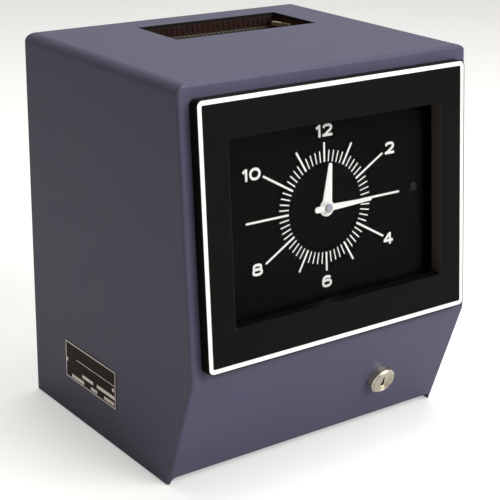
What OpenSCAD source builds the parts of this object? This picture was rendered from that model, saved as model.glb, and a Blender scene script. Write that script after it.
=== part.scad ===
// Time clock with a sloping dial face and a card throat in its top.
// The sheet cover hangs on two studs at the rear top edge and swings up as a hood.
// Every size is in millimetres. X runs to the right as seen from the front,
// -Y is the front and +Z is up. Heights start at the table.

/* [Housing] */
// Width of the cover across its side walls
body_w = 254; // [252:1:258]
// Height of the cover's top above the table
body_h = 294; // [292:1:300]
// Depth of the cover at its top front edge
depth_top = 207; // [205:1:209]
// Depth at the bend between the dial face and the chin, the deepest line
depth_kink = 225; // [224:1:227]
// Height of that bend above the table
kink_h = 91; // [89:1:93]
// Depth of the side walls at the table
depth_foot = 194; // [193:1:197]
// Sheet thickness of the cover
wall = 2; // [1.8:0.1:2.2]
// Radius of the bends between the top and the side walls
bend_r = 8; // [7:0.5:9]
// Radius of the upright edges between the front and the side walls
edge_r = 2.6; // [2.3:0.1:3.5]
// Height of the chin's lower edge above the table
chin_lift = 6; // [5:0.5:7]
// Gap under the side walls
cover_lift = 0.8; // [0.5:0.1:1.2]

/* [Dial frame] */
// Margin between the black frame and the cover's side edges
bezel_side = 8.7; // [8.5:0.1:10]
// Margin between the frame and the cover's top, measured along the sloping face
bezel_top = 9.9; // [8.9:0.1:11.8]
// Distance from the bend to the frame's lower edge
bezel_rise = 6; // [5:0.5:8]
// How far the frame stands out of the cover
bezel_proud = 8; // [7:0.5:9]
// Width of the frame's upright bars, beside the dial window
bezel_upright = 23.8; // [23.3:0.1:25]
// Height of the frame's level bars, above and below the dial window
bezel_level = 28.95; // [28.45:0.05:29.95]
// Width of the white inlaid line
trim_w = 3.2; // [2.5:0.1:4]
// Margin between the line and the frame's edge
trim_margin = 0.8; // [0.6:0.1:1.2]

/* [Dial] */
// How far the dial's front lies behind the cover's face
dial_depth = 10.4; // [10:0.1:11]
// Length of the minute hand from its axis
minute_hand_l = 40.4; // [38:0.2:42]
// Length of the minute hand's tail
minute_tail_l = 11.8; // [10:0.2:13]
// Length of the hour hand from its axis
hour_hand_l = 32; // [30:0.5:33]
// Minutes past twelve shown by the hands
shown_minutes = 15; // [0:1:59]

/* [Card throat] */
// Width of the opening in the top
throat_w = 130; // [126:1:132]
// Front to back size of the opening
throat_l = 55; // [54:1:56]
// Middle of the opening, measured to the right of the cover's middle
throat_x = 19; // [17:1:20]
// Distance from the back plane to the opening's rear edge
throat_back = 29; // [28:1:30]
// Distance from the back plane to the card
card_d = 50; // [50:0.5:51]
// Clear width of the card channel
card_channel_w = 94; // [92:1:94]
// Clear gap of the card channel
card_gap = 6; // [5.6:0.1:6]

/* [Lock] */
// Place of the lock to the right of the middle
lock_x = 57; // [50:1:60]
// Height of the lock's middle on the chin
lock_h = 43; // [42:0.5:44]
// Diameter of the lock's head
lock_head_d = 22; // [20:0.5:23]

/* [Rating plate] */
// Length of the plate on the left side wall
plate_l = 74.5; // [70:0.5:80]
// Height of the plate
plate_h = 30; // [26:0.5:34]
// Distance from the back plane to the plate's rear edge
plate_back = 50; // [45:1:60]
// Height of the plate's lower edge above the table
plate_low = 32; // [28:1:36]

/* [Fits] */
// Radial running clearance of shafts in their bores
run_gap = 0.06; // [0.02:0.01:0.09]
// Radial clearance of pieces that are fixed in a hole
seat_gap = 0.02; // [0.01:0.01:0.04]
// Clearance round a piece that passes through the cover
pass_gap = 0.5; // [0.3:0.1:0.8]

/* [Hidden] */
$fn = 48;

// Angles of the sloping faces, derived from the depths
face_tilt = atan((depth_top - depth_kink) / (kink_h - body_h));
chin_tilt = atan((depth_kink - depth_foot) / kink_h);
face_l = (body_h - kink_h) / cos(face_tilt);
bezel_w = body_w - 2 * bezel_side;
bezel_h = face_l - bezel_rise - bezel_top;
window_w = bezel_w - 2 * bezel_upright;
window_h = bezel_h - 2 * bezel_level;
// The frame's lower front edge is the foremost line of the object
front_d = depth_kink - bezel_rise * sin(face_tilt) + bezel_proud * cos(face_tilt);
back_y = front_d / 2;
half_w = body_w / 2;

// Colours as the photograph shows them
enamel = "#4a4d62";
black_plastic = "#1d1c19";
white_line = "#e8e6dd";
steel = "#9a9c9f";
zinc = "#b4b5b2";
brass = "#b8964a";
dark = "#22211f";
brown = "#3a2620";
rubber_black = "#151515";
ink = "#1c1a2a";

// Hinge of the cover: the studs lie on the axis of the rolled rear edge
roll_r = 6;
hinge_d = roll_r;
hinge_z = body_h - roll_r;
stud_r = 2;
ear_inset = 15;
ear_x0 = half_w - ear_inset;
ear_t = 2;
ear_boss_r = roll_r - wall - 0.5;

// Chassis
plate_t = 2;
base_z = 6;
floor_z = base_z + plate_t;
base_half_w = half_w - wall - 3;
base_front = depth_foot - 4;
back_d0 = 2;
back_d1 = back_d0 + plate_t;
back_top = hinge_z - roll_r - 1.2;
rear_flange_h = 20;
front_flange_h = 14;
foot_r = 9;
foot_inset = 24;
foot_side = 22;
foot_x = base_half_w - foot_side;
foot_ds = [foot_inset, base_front - foot_inset];

// Card throat below the opening
throat_wall = 1.5;
throat_top = body_h - wall - 0.4;
throat_floor = body_h - 31.5;
throat_slope_z = body_h - 17;
throat_x0 = throat_x - throat_w / 2;
throat_x1 = throat_x + throat_w / 2;
throat_d0 = throat_back;
throat_d1 = throat_back + throat_l;
sheet_t = 1.2;
guide_rear_d = card_d - card_gap / 2;
guide_front_d = card_d + card_gap / 2;
guide_low = body_h - 216;
channel_x0 = throat_x - card_channel_w / 2;
channel_x1 = throat_x + card_channel_w / 2;

// Mechanism frame
frame_half = 50;
frame_x0 = throat_x - frame_half;
frame_x1 = throat_x + frame_half;
frame_rear = 8;
frame_front = 128;
frame_top = throat_floor;
frame_flange_w = 12;
pillar_r = 3;
pillar_places = [[16, 30], [16, frame_top - 22.5], [118, 34], [118, frame_top - 48.5]];
motor_plate_w = -41;
motor_r = 25;
motor_l = 32;

// Printing unit
print_z = body_h - 104;
print_window_w = 27;
print_window_h = 20;
ribbon_d = guide_front_d + sheet_t + 0.7;
ribbon_t = 0.4;
ribbon_w = 26;
type_r = 15;
drum_r = 13;
type_d = ribbon_d + ribbon_t + 0.6 + type_r;
type_shaft_r = 3;
type_pitch = 6.3;
type_w = 5.6;
collar_r = 4.6;
spool_d = type_d + 3.4;
spool_offset = 42;
spool_zs = [print_z - spool_offset, print_z + spool_offset];
spool_flange_r = 15.5;
spool_pack_r = 12;
ribbon_pin_zs = [print_z - 20, print_z + 20];
ribbon_pin_r = 1.5;

// Gears: teeth and modules of each pair
drive_teeth = 48;
pinion_teeth = 12;
drive_module = 1;
drive_centre = (drive_teeth + pinion_teeth) * drive_module / 2;
motor_z = print_z - drive_centre;
centre_teeth = 60;
centre_module = 0.7;
centre_distance = (centre_teeth + pinion_teeth) * centre_module / 2;
minute_teeth = 36;
minute_module = 0.75;
hour_teeth = 48;
hour_module = 0.6;
motion_distance = (minute_teeth + pinion_teeth) * minute_module / 2;
gear_backlash = 0.24;

// Hammer and solenoid
hammer_x = throat_x;
hammer_d = 22;
hammer_z = print_z - 78;
hammer_shaft_r = 2.5;
hammer_face_d = 41;
pad_t = 1.5;
hammer_arm_t = 4;
solenoid_z = print_z - 130;
solenoid_r = 13;
plunger_r = 4;

// Trigger
trigger_d = 64;
trigger_z = guide_low + 14;
trigger_r = 1.5;

// Layers behind the dial, along the face's outward normal
dial_t = 1.2;
hour_hand_w = -dial_depth + 1.2;
minute_hand_w = hour_hand_w + 1.5;
hand_t = 0.7;
cap_h = 1.6;
crystal_t = 2;
crystal_w = -3.6;
crystal_lap = 2;
collar_depth = 5;
collar_wall = 4;
arbor_r = 1.5;
pipe_r = 3;
bezel_u = bezel_rise + bezel_h / 2;
dial_z = kink_h + bezel_u * cos(face_tilt);

// Lock
lock_body_r = 8.9;
lock_plug_r = 6;
lock_body_l = 17;
lock_head_l = 6;
key_w = 1.8;
key_h = 8;
cam_l = 26;
strike_drop = 12;

// Screws
screw_r = 1.5;
screw_head_r = 3;
wall_hole_r = 3;
wall_hole_x = half_w - 32;
wall_hole_zs = [70, body_h - 64];
grommet_x = 37 - half_w;
grommet_z = 40;
grommet_neck_r = 7;
grommet_bore_r = 4;

// Depth of the dial face and of the chin at a height, moved in by an inset
function face_depth(z, inset = 0) = depth_kink - (z - kink_h) * tan(face_tilt) - inset / cos(face_tilt);
function chin_depth(z, inset = 0) = depth_kink - (kink_h - z) * tan(chin_tilt) - inset / cos(chin_tilt);
// Height of the bend of a face that is moved in by an inset
function kink_height(inset) =
    kink_h + inset * (1 / cos(chin_tilt) - 1 / cos(face_tilt)) / (tan(chin_tilt) + tan(face_tilt));
// Depth and height of a point given up the sloping face and along its outward normal
function face_point(u, w) = [
    depth_kink - u * sin(face_tilt) + w * cos(face_tilt),
    kink_h + u * cos(face_tilt) + w * sin(face_tilt)
];
// Depth of the layer w behind the dial face at a height
function layer_depth(z, w) = face_depth(z) + w / cos(face_tilt);

function unit(v) = v / norm(v);
function flat(c) = [c[0], c[1]];
function corner_half(a, p, b) = acos(unit(a - p) * unit(b - p)) / 2;
// Points along the arc that rounds corner p between its neighbours a and b
function corner_arc(a, p, b, r) =
    let (
        half = corner_half(a, p, b),
        centre = p + unit(unit(a - p) + unit(b - p)) * r / sin(half),
        start = p + unit(a - p) * r / tan(half) - centre,
        end = p + unit(b - p) * r / tan(half) - centre,
        turn = sign(start[0] * end[1] - start[1] * end[0]) * (180 - 2 * half),
        from = atan2(start[1], start[0])
    )
    [for (k = [0 : arc_steps]) centre + r * [cos(from + turn * k / arc_steps), sin(from + turn * k / arc_steps)]];
arc_steps = 10;

// Convex polygon of corners [x, y, radius]
module rounded_polygon(corners) {
    n = len(corners);
    polygon([
        for (i = [0 : n - 1])
            let (p = flat(corners[i]), r = corners[i][2])
            each r > 0
                ? corner_arc(flat(corners[(i + n - 1) % n]), p, flat(corners[(i + 1) % n]), r)
                : [p]
    ]);
}

// Rectangle about the origin with round corners
module rounded_rect(w, h, r) {
    square([w - 2 * r, h], center = true);
    square([w, h - 2 * r], center = true);
    for (x = [-1, 1], y = [-1, 1])
        translate([x * (w / 2 - r), y * (h / 2 - r)]) circle(r);
}

// Block between two values of x, of distance from the back plane and of height
module block(x0, x1, d0, d1, z0, z1) {
    translate([x0, back_y - d1, z0]) cube([x1 - x0, d1 - d0, z1 - z0]);
}

// Extrudes a shape drawn in (distance from the back plane, height) from x0 to x1
module side_plate(x0, x1) {
    translate([x1, back_y, 0]) rotate([90, 0, -90]) linear_extrude(x1 - x0) children();
}

// Round rod along X
module x_rod(r, x0, x1, d, z) {
    translate([x0, back_y - d, z]) rotate([0, 90, 0]) cylinder(h = x1 - x0, r = r);
}

// Round rod along the depth
module d_rod(r, x, d0, d1, z) {
    translate([x, back_y - d0, z]) rotate([90, 0, 0]) cylinder(h = d1 - d0, r = r);
}

// Places children on the dial face: x across, u up the face, w outward
module on_face(x = 0, u = 0, w = 0) {
    translate([0, back_y - depth_kink, kink_h]) rotate([90 - face_tilt, 0, 0]) translate([x, u, w]) children();
}

// Places children on the dial's centre line
module on_dial(w = 0) {
    on_face(0, bezel_u, w) children();
}

// Places children on the chin at the lock's middle, z outward
module on_lock(w = 0) {
    translate([lock_x, back_y - chin_depth(lock_h), lock_h]) rotate([90 + chin_tilt, 0, 0]) translate([0, 0, w])
        children();
}

module disc(r, h, bore = 0) {
    difference() {
        cylinder(h = h, r = r);
        if (bore > 0) translate([0, 0, -1]) cylinder(h = h + 2, r = bore);
    }
}

// Involute gear outline. A tooth points along +X before the phase is added.
pressure_angle = 20;
function involute(a) = tan(a) * 180 / PI - a;
function tooth_half(teeth, m, r) =
    let (rp = teeth * m / 2, rb = rp * cos(pressure_angle))
    90 / teeth + involute(pressure_angle) - involute(r > rb ? acos(rb / r) : 0)
        - gear_backlash * m / 2 / rp * 180 / PI;
function tooth_points(teeth, m, centre) =
    let (
        rp = teeth * m / 2,
        rb = rp * cos(pressure_angle),
        root = rp - 1.15 * m,
        radii = [root, max(root + 0.1 * m, rb), rp + 0.1 * m, rp + 0.85 * m]
    )
    concat(
        [for (r = radii) r * [cos(centre - tooth_half(teeth, m, r)), sin(centre - tooth_half(teeth, m, r))]],
        [for (i = [3 : -1 : 0]) let (r = radii[i])
            r * [cos(centre + tooth_half(teeth, m, r)), sin(centre + tooth_half(teeth, m, r))]]
    );
module gear_outline(teeth, m, phase = 0) {
    polygon([for (i = [0 : teeth - 1]) each tooth_points(teeth, m, phase + i * 360 / teeth)]);
}
module gear(teeth, m, h, bore, phase = 0) {
    difference() {
        linear_extrude(h) gear_outline(teeth, m, phase);
        translate([0, 0, -1]) cylinder(h = h + 2, r = bore);
    }
}

// Side profile of the cover, moved in by an inset
module cover_profile(inset, low) {
    rounded_polygon([
        [inset, low, 0],
        [inset, body_h - inset, roll_r - inset],
        [face_depth(body_h - inset, inset), body_h - inset, 3 - inset / 2],
        [layer_depth(kink_height(inset), -inset), kink_height(inset), 6 - inset / 2],
        [chin_depth(low, inset), low, 0]
    ]);
}

// Front view of the cover, moved in by an inset
module cover_front(inset, low) {
    rounded_polygon([
        [-half_w + inset, low, 0],
        [-half_w + inset, body_h - inset, bend_r - inset],
        [half_w - inset, body_h - inset, bend_r - inset],
        [half_w - inset, low, 0]
    ]);
}

// Prism behind the leaning front plane of the face or of the chin, with rounded upright edges
module edge_prism(lean, inset) {
    deep = 2 * depth_kink;
    translate([0, back_y - depth_kink, kink_h]) rotate([lean, 0, 0])
        translate([0, inset + deep / 2, -body_h]) linear_extrude(2 * body_h)
            rounded_rect(body_w - 2 * inset, deep, edge_r - inset);
}

module cover_block(inset, low) {
    intersection() {
        side_plate(-half_w - 1, half_w + 1) cover_profile(inset, low);
        translate([0, back_y + 1, 0]) rotate([90, 0, 0]) linear_extrude(depth_kink + 20) cover_front(inset, low);
        edge_prism(-face_tilt, inset);
        edge_prism(chin_tilt, inset);
    }
}

// The chin's lower edge, with round inner corners down to the side walls
module chin_cut() {
    translate([0, back_y - 185, 0]) rotate([90, 0, 0]) linear_extrude(60)
        rounded_polygon([
            [-half_w + wall, -2, 0],
            [-half_w + wall, chin_lift, 4.8],
            [half_w - wall, chin_lift, 4.8],
            [half_w - wall, -2, 0]
        ]);
}

bezel_screw_places = [for (x = [-1, 1], u = [-1, 1]) [x * (bezel_w / 2 - 10), u * (bezel_h / 2 - 12)]];

module housing_cover() {
    color(enamel) difference() {
        cover_block(0, cover_lift);
        cover_block(wall, cover_lift - 2);
        block(-half_w + wall, half_w - wall, -1, roll_r, -1, hinge_z);
        chin_cut();
        block(throat_x0, throat_x1, throat_d0, throat_d1, body_h - wall - 1, body_h + 1);
        on_face(0, bezel_u, -wall - 2) linear_extrude(wall + 4)
            rounded_rect(window_w + 2 * collar_wall + 2 * pass_gap, window_h + 2 * collar_wall + 2 * pass_gap, 3);
        for (p = bezel_screw_places) on_face(p[0], bezel_u + p[1], -wall - 1) cylinder(h = wall + 2, r = 2.2);
        on_lock(-wall - 2) cylinder(h = wall + 4, r = lock_body_r + 0.1);
    }
}

module bezel() {
    color(black_plastic) difference() {
        union() {
            on_face(0, bezel_u, 0) linear_extrude(bezel_proud) rounded_rect(bezel_w, bezel_h, 4.5);
            on_face(0, bezel_u, -collar_depth) linear_extrude(collar_depth + 1)
                rounded_rect(window_w + 2 * collar_wall, window_h + 2 * collar_wall, 2.5);
        }
        on_face(0, bezel_u, -collar_depth - 1) linear_extrude(bezel_proud + collar_depth + 2)
            rounded_rect(window_w, window_h, 1.5);
        on_face(0, bezel_u, -collar_depth - 1) linear_extrude(1 + collar_depth + crystal_w + crystal_t)
            rounded_rect(window_w + 2 * crystal_lap, window_h + 2 * crystal_lap, 1.5);
        on_face(0, bezel_u, bezel_proud - 0.6) linear_extrude(2) trim_outline();
        for (p = bezel_screw_places) on_face(p[0], bezel_u + p[1], -1) cylinder(h = 6, r = 1.8 + seat_gap);
    }
}

module trim_outline() {
    difference() {
        rounded_rect(bezel_w - 2 * trim_margin, bezel_h - 2 * trim_margin, 4);
        rounded_rect(bezel_w - 2 * trim_margin - 2 * trim_w, bezel_h - 2 * trim_margin - 2 * trim_w, 1.2);
    }
}

module bezel_trim() {
    color(white_line) on_face(0, bezel_u, bezel_proud - 0.6) linear_extrude(0.7) trim_outline();
}

module crystal() {
    color("#c8d4d2", 0.3) on_face(0, bezel_u, crystal_w) linear_extrude(crystal_t)
        rounded_rect(window_w + 2 * crystal_lap, window_h + 2 * crystal_lap, 1.5);
}

// Small tabs that hold the crystal in the frame's rear recess
module crystal_clips() {
    clip_l = 16;
    color(steel) for (s = [-1, 1]) {
        on_face(s * (window_w + crystal_lap) / 2, bezel_u, crystal_w - 1) linear_extrude(1)
            square([crystal_lap, clip_l], center = true);
        on_face(0, bezel_u + s * (window_h + crystal_lap) / 2, crystal_w - 1) linear_extrude(1)
            square([clip_l, crystal_lap], center = true);
    }
}

module bezel_screws() {
    color(zinc) for (p = bezel_screw_places)
        on_face(p[0], bezel_u + p[1], 0) {
            translate([0, 0, -wall - 2]) cylinder(h = 2, r = 3.5);
            translate([0, 0, -wall - 1]) cylinder(h = wall + 5.6, r = 1.8);
        }
}

// Studs that the cover turns on, each on a bracket inside a side wall
module hinge_studs() {
    bracket_x = ear_x0 + 7;
    low = hinge_z - 26;
    high = hinge_z - 6;
    reach = 10;
    color(steel) for (s = [0, 1]) mirror([s, 0, 0]) {
        x_rod(stud_r, ear_x0 - 1, bracket_x, hinge_d, hinge_z);
        x_rod(ear_boss_r, bracket_x, bracket_x + plate_t, hinge_d, hinge_z);
        side_plate(bracket_x, bracket_x + plate_t) polygon([
            [hinge_d, hinge_z],
            [hinge_d, low],
            [hinge_d + reach, low],
            [hinge_d + reach, high],
            [hinge_d + 3, hinge_z]
        ]);
        block(bracket_x + plate_t, half_w - wall, hinge_d, hinge_d + reach, low, high);
    }
}

module rating_plate() {
    color(dark) block(
        -half_w - 0.5, -half_w, plate_back, plate_back + plate_l, plate_low, plate_low + plate_h
    );
}

module plate_rivets() {
    color(zinc) for (d = [plate_back + 2.6, plate_back + plate_l - 2.6])
        x_rod(1.5, -half_w - 1.1, -half_w - 0.5, d, plate_low + plate_h / 2);
}

module lock_barrel() {
    color(zinc) difference() {
        union() {
            on_lock(-lock_body_l) cylinder(h = lock_body_l + 1, r = lock_body_r);
            on_lock(0) cylinder(h = lock_head_l - 1, r = lock_head_d / 2);
            on_lock(lock_head_l - 1) cylinder(h = 1, r1 = lock_head_d / 2, r2 = lock_head_d / 2 - 1);
        }
        on_lock(-lock_body_l - 1) cylinder(h = lock_body_l + lock_head_l + 2, r = lock_plug_r + run_gap);
    }
}

module lock_nut() {
    color(zinc) difference() {
        on_lock(-wall - 4) cylinder(h = 4, r = 13, $fn = 6);
        on_lock(-wall - 5) cylinder(h = 6, r = lock_body_r + seat_gap);
    }
}

module lock_plug() {
    color(zinc) difference() {
        union() {
            on_lock(-lock_body_l - 1.5) cylinder(h = lock_body_l + lock_head_l + 1, r = lock_plug_r);
            on_lock(-lock_body_l - 6) cylinder(h = 6, r = 3);
        }
        on_lock(lock_head_l - 11) {
            translate([-key_w / 2, -key_h / 2, 0]) cube([key_w, key_h, 14]);
            translate([-key_w, -key_h / 2 + 0.8, 0]) cube([2 * key_w, key_h / 3, 14]);
        }
    }
}

// The cam points to the right when the lock is open and turns down to lock
module lock_cam() {
    color(steel) difference() {
        on_lock(-lock_body_l - 4) linear_extrude(2.5) {
            circle(7);
            translate([0, -5]) square([cam_l, 10]);
        }
        on_lock(-lock_body_l - 5) cylinder(h = 5, r = 3 + seat_gap);
    }
}

module base_plate() {
    color(steel) {
        block(-base_half_w, base_half_w, back_d1, base_front, base_z, floor_z);
        block(-base_half_w, base_half_w, back_d1, back_d1 + plate_t, base_z, base_z + rear_flange_h);
        block(-base_half_w, base_half_w, base_front - plate_t, base_front, base_z, base_z + front_flange_h);
    }
}

module rubber_feet() {
    color(rubber_black) for (x = [-foot_x, foot_x], d = foot_ds)
        translate([x, back_y - d, 0]) cylinder(h = base_z, r1 = foot_r - 1, r2 = foot_r);
}

// Ear that carries one hinge stud. It keeps clear of the rolled edge's swing.
module hinge_ear() {
    difference() {
        union() {
            x_rod(ear_boss_r, ear_x0, ear_x0 + ear_t, hinge_d, hinge_z);
            side_plate(ear_x0, ear_x0 + ear_t) polygon([
                [hinge_d + 0.2, hinge_z - 1],
                [hinge_d + 0.2, back_top - 1],
                [back_d1 - 0.5, back_top - 5],
                [back_d1 - 0.5, back_top - 30],
                [hinge_d + 8, back_top - 30],
                [hinge_d + 8, back_top - 2],
                [hinge_d + ear_boss_r - 0.2, hinge_z]
            ]);
        }
        x_rod(stud_r + run_gap, ear_x0 - 1, ear_x0 + ear_t + 1, hinge_d, hinge_z);
    }
}

module back_plate() {
    color(steel) {
        difference() {
            block(-base_half_w, base_half_w, back_d0, back_d1, base_z, back_top);
            for (x = [-wall_hole_x, wall_hole_x], z = wall_hole_zs) d_rod(wall_hole_r, x, 0, 8, z);
            for (x = case_screw_xs) d_rod(screw_r + seat_gap, x, 0, 8, case_screw_z);
            d_rod(grommet_neck_r, grommet_x, 0, 8, grommet_z);
        }
        hinge_ear();
        mirror([1, 0, 0]) hinge_ear();
    }
}

case_screw_xs = [-60, 60];
case_screw_z = base_z + rear_flange_h / 2;

// Pan heads behind the back plate, whose shanks reach the base plate's rear flange
module case_screws() {
    color(zinc) for (x = case_screw_xs) {
        d_rod(screw_head_r, x, 0.4, back_d0, case_screw_z);
        d_rod(screw_r, x, back_d0, back_d1, case_screw_z);
    }
}

module cord_grommet() {
    color(rubber_black) difference() {
        union() {
            d_rod(grommet_neck_r, grommet_x, back_d0, back_d1, grommet_z);
            d_rod(grommet_neck_r + 2.5, grommet_x, 0.3, back_d0, grommet_z);
            d_rod(grommet_neck_r + 2.5, grommet_x, back_d1, back_d1 + 3, grommet_z);
        }
        d_rod(grommet_bore_r, grommet_x, -1, back_d1 + 4, grommet_z);
    }
}

// Bracket that the lock's cam turns behind
module lock_strike() {
    strike_d = base_front - plate_t;
    color(steel) {
        block(lock_x - 14, lock_x + 14, strike_d - plate_t, strike_d, floor_z, lock_h - strike_drop);
        block(lock_x - 14, lock_x + 14, strike_d - 16, strike_d, floor_z, floor_z + plate_t);
    }
}

// Liner below the opening: upright walls, then slopes down to the card slot
module card_throat() {
    out = throat_wall;
    color(brown) difference() {
        block(throat_x0 - out, throat_x1 + out, throat_d0 - out, throat_d1 + out, throat_floor, throat_top);
        block(throat_x0, throat_x1, throat_d0, throat_d1, throat_slope_z, throat_top + 1);
        side_plate(throat_x0, throat_x1) polygon([
            [throat_d0, throat_slope_z + 0.1],
            [guide_rear_d, throat_floor + out],
            [guide_rear_d, throat_floor - 1],
            [guide_front_d, throat_floor - 1],
            [guide_front_d, throat_floor + out],
            [throat_d1, throat_slope_z + 0.1]
        ]);
        side_plate(throat_x0 - out - 1, throat_x1 + out + 1) polygon([
            [throat_d0 - out - 1, throat_slope_z - 2],
            [throat_d0 - out, throat_slope_z - 2],
            [guide_rear_d - 6, throat_floor + out],
            [guide_rear_d - 6, throat_floor - 1],
            [throat_d0 - out - 1, throat_floor - 1]
        ]);
        side_plate(throat_x0 - out - 1, throat_x1 + out + 1) polygon([
            [throat_d1 + out + 1, throat_slope_z - 2],
            [throat_d1 + out, throat_slope_z - 2],
            [guide_front_d + 6, throat_floor + out],
            [guide_front_d + 6, throat_floor - 1],
            [throat_d1 + out + 1, throat_floor - 1]
        ]);
    }
}

// One guide sheet of the card channel, with its window for printing
module card_guide(d) {
    difference() {
        block(frame_x0, frame_x1, d, d + sheet_t, guide_low, throat_floor);
        block(
            throat_x - print_window_w / 2, throat_x + print_window_w / 2, d - 1, d + sheet_t + 1,
            print_z - print_window_h / 2, print_z + print_window_h / 2
        );
        children();
    }
}

module card_guide_rear() {
    color(steel) card_guide(guide_rear_d - sheet_t);
}

module card_guide_front() {
    color(steel) card_guide(guide_front_d)
        block(
            throat_x - 4, throat_x + 4, guide_front_d - 1, guide_front_d + sheet_t + 1, trigger_z - 6, trigger_z + 10
        );
}

// Strips between the guide sheets that close the channel's sides
module card_guide_rails() {
    color(steel) for (x = [frame_x0, channel_x1])
        block(x, x + channel_x0 - frame_x0, guide_rear_d, guide_front_d, guide_low, throat_floor);
}

module card_stop() {
    color(brown) block(channel_x0, channel_x1, guide_rear_d, guide_front_d, guide_low, guide_low + 4);
}

// Outline of a frame plate, whose arm reaches forward to the movement
module frame_outline() {
    arm_low = dial_z - 40.5;
    arm_high = dial_z + 45.5;
    polygon([
        [frame_rear, floor_z],
        [frame_front, floor_z],
        [frame_front, arm_low - 40],
        [layer_depth(arm_low, motor_plate_w), arm_low],
        [layer_depth(arm_high, motor_plate_w), arm_high],
        [96, frame_top],
        [frame_rear, frame_top]
    ]);
}

module frame_plate(x0, flange_x) {
    difference() {
        union() {
            side_plate(x0, x0 + plate_t) frame_outline();
            block(
                flange_x, flange_x + frame_flange_w, frame_rear + frame_flange_w, frame_front - frame_flange_w,
                floor_z, floor_z + plate_t
            );
        }
        x_rod(type_shaft_r + run_gap, x0 - 1, x0 + plate_t + 1, type_d, print_z);
        x_rod(hammer_shaft_r + seat_gap, x0 - 1, x0 + plate_t + 1, hammer_d, hammer_z);
        for (z = spool_zs) x_rod(2.5 + run_gap, x0 - 1, x0 + plate_t + 1, spool_d, z);
    }
}

module frame_plate_left() {
    color(steel) frame_plate(frame_x0 - plate_t, frame_x0 - frame_flange_w);
}

module frame_plate_right() {
    color(steel) frame_plate(frame_x1, frame_x1);
}

// Rods between the frame plates, with the ribbon pins and the switch's cross bar
module frame_pillars() {
    color(zinc) {
        for (p = pillar_places) x_rod(pillar_r, frame_x0, frame_x1, p[0], p[1]);
        for (z = ribbon_pin_zs) x_rod(ribbon_pin_r, frame_x0, frame_x1, ribbon_d + ribbon_t + ribbon_pin_r, z);
    }
}

module frame_screws() {
    color(zinc) for (x = [frame_x0 - 7, frame_x1 + 7], d = [34, 102])
        translate([x, back_y - d, floor_z + plate_t]) cylinder(h = 2, r = screw_head_r);
}

movement_x0 = frame_x0 - frame_flange_w;
movement_x1 = frame_x1 + 6;
movement_post_places = [for (x = [-32, 32], u = [-36, 32]) [x, u]];

module movement_back_plate() {
    color(brass) difference() {
        on_dial(motor_plate_w) linear_extrude(plate_t)
            translate([movement_x0, -46]) square([movement_x1 - movement_x0, 86]);
        on_dial(motor_plate_w - 1) cylinder(h = plate_t + 2, r = arbor_r + run_gap);
        on_dial(motor_plate_w - 1) translate([0, -centre_distance, 0]) cylinder(h = plate_t + 2, r = 5);
    }
}

front_plate_w = -31;

// Front plate with its pillars and the riveted stud of the minute wheel
module movement_front_plate() {
    color(brass) {
        difference() {
            on_dial(front_plate_w) linear_extrude(1.5) translate([-38, -42]) square([76, 80]);
            on_dial(front_plate_w - 1) cylinder(h = 4, r = arbor_r + run_gap);
        }
        for (p = movement_post_places)
            on_dial(motor_plate_w + plate_t) translate(p)
                cylinder(h = front_plate_w - motor_plate_w - plate_t + 1, r = 3);
        on_dial(front_plate_w + 1) translate([-motion_distance, 0, 0]) cylinder(h = 11.5, r = 1.2);
    }
}

module dial_posts() {
    color(brass) for (p = movement_post_places)
        on_dial(front_plate_w + 1.5) translate(p)
            cylinder(h = -dial_depth - dial_t - front_plate_w - 1.5, r = 3);
}

module dial_plate() {
    color(dark) difference() {
        on_dial(-dial_depth - dial_t) linear_extrude(dial_t) rounded_rect(window_w + 16, window_h + 16, 3);
        on_dial(-dial_depth - dial_t - 1) cylinder(h = dial_t + 2, r = pipe_r + 0.4);
    }
}

// Synchronous motor behind the movement, with its mounting strap
module dial_motor() {
    motor_h = 23;
    color(zinc) difference() {
        on_dial(motor_plate_w - 1) translate([0, -centre_distance, 0]) {
            translate([0, 0, -motor_h]) cylinder(h = motor_h, r = 21);
            translate([0, 0, -0.5]) linear_extrude(1.5) square([56, 14], center = true);
        }
        on_dial(motor_plate_w - 10) translate([0, -centre_distance, 0]) cylinder(h = 20, r = arbor_r + run_gap);
    }
}

module dial_pinion() {
    color(brass) on_dial(motor_plate_w) translate([0, -centre_distance, 0]) {
        translate([0, 0, -8]) cylinder(h = 11, r = arbor_r);
        translate([0, 0, 3]) linear_extrude(5) gear_outline(pinion_teeth, centre_module, 90);
    }
}

// Arbor of the minute hand with its wheel and the cannon pinion
module centre_arbor() {
    color(brass) on_dial(0) {
        translate([0, 0, motor_plate_w]) cylinder(h = minute_hand_w + hand_t - motor_plate_w, r = arbor_r);
        translate([0, 0, motor_plate_w + 5]) linear_extrude(2)
            gear_outline(centre_teeth, centre_module, -90 + 180 / centre_teeth);
        translate([0, 0, front_plate_w + 2.4]) linear_extrude(4.4) gear_outline(pinion_teeth, minute_module, 180);
    }
}

module minute_wheel() {
    color(brass) on_dial(0) translate([-motion_distance, 0, 0]) {
        translate([0, 0, front_plate_w + 4]) gear(
            minute_teeth, minute_module, 2, 1.2 + run_gap, 180 / minute_teeth
        );
        translate([0, 0, front_plate_w + 6]) gear(pinion_teeth, hour_module, 5.5, 1.2 + run_gap);
    }
}

module hour_wheel() {
    wheel_w = front_plate_w + 8.4;
    color(brass) on_dial(0) difference() {
        union() {
            translate([0, 0, wheel_w]) linear_extrude(2)
                gear_outline(hour_teeth, hour_module, 180 + 180 / hour_teeth);
            translate([0, 0, wheel_w]) cylinder(h = hour_hand_w + hand_t - wheel_w, r = pipe_r);
        }
        translate([0, 0, wheel_w - 1]) cylinder(h = 30, r = arbor_r + run_gap);
    }
}

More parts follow.
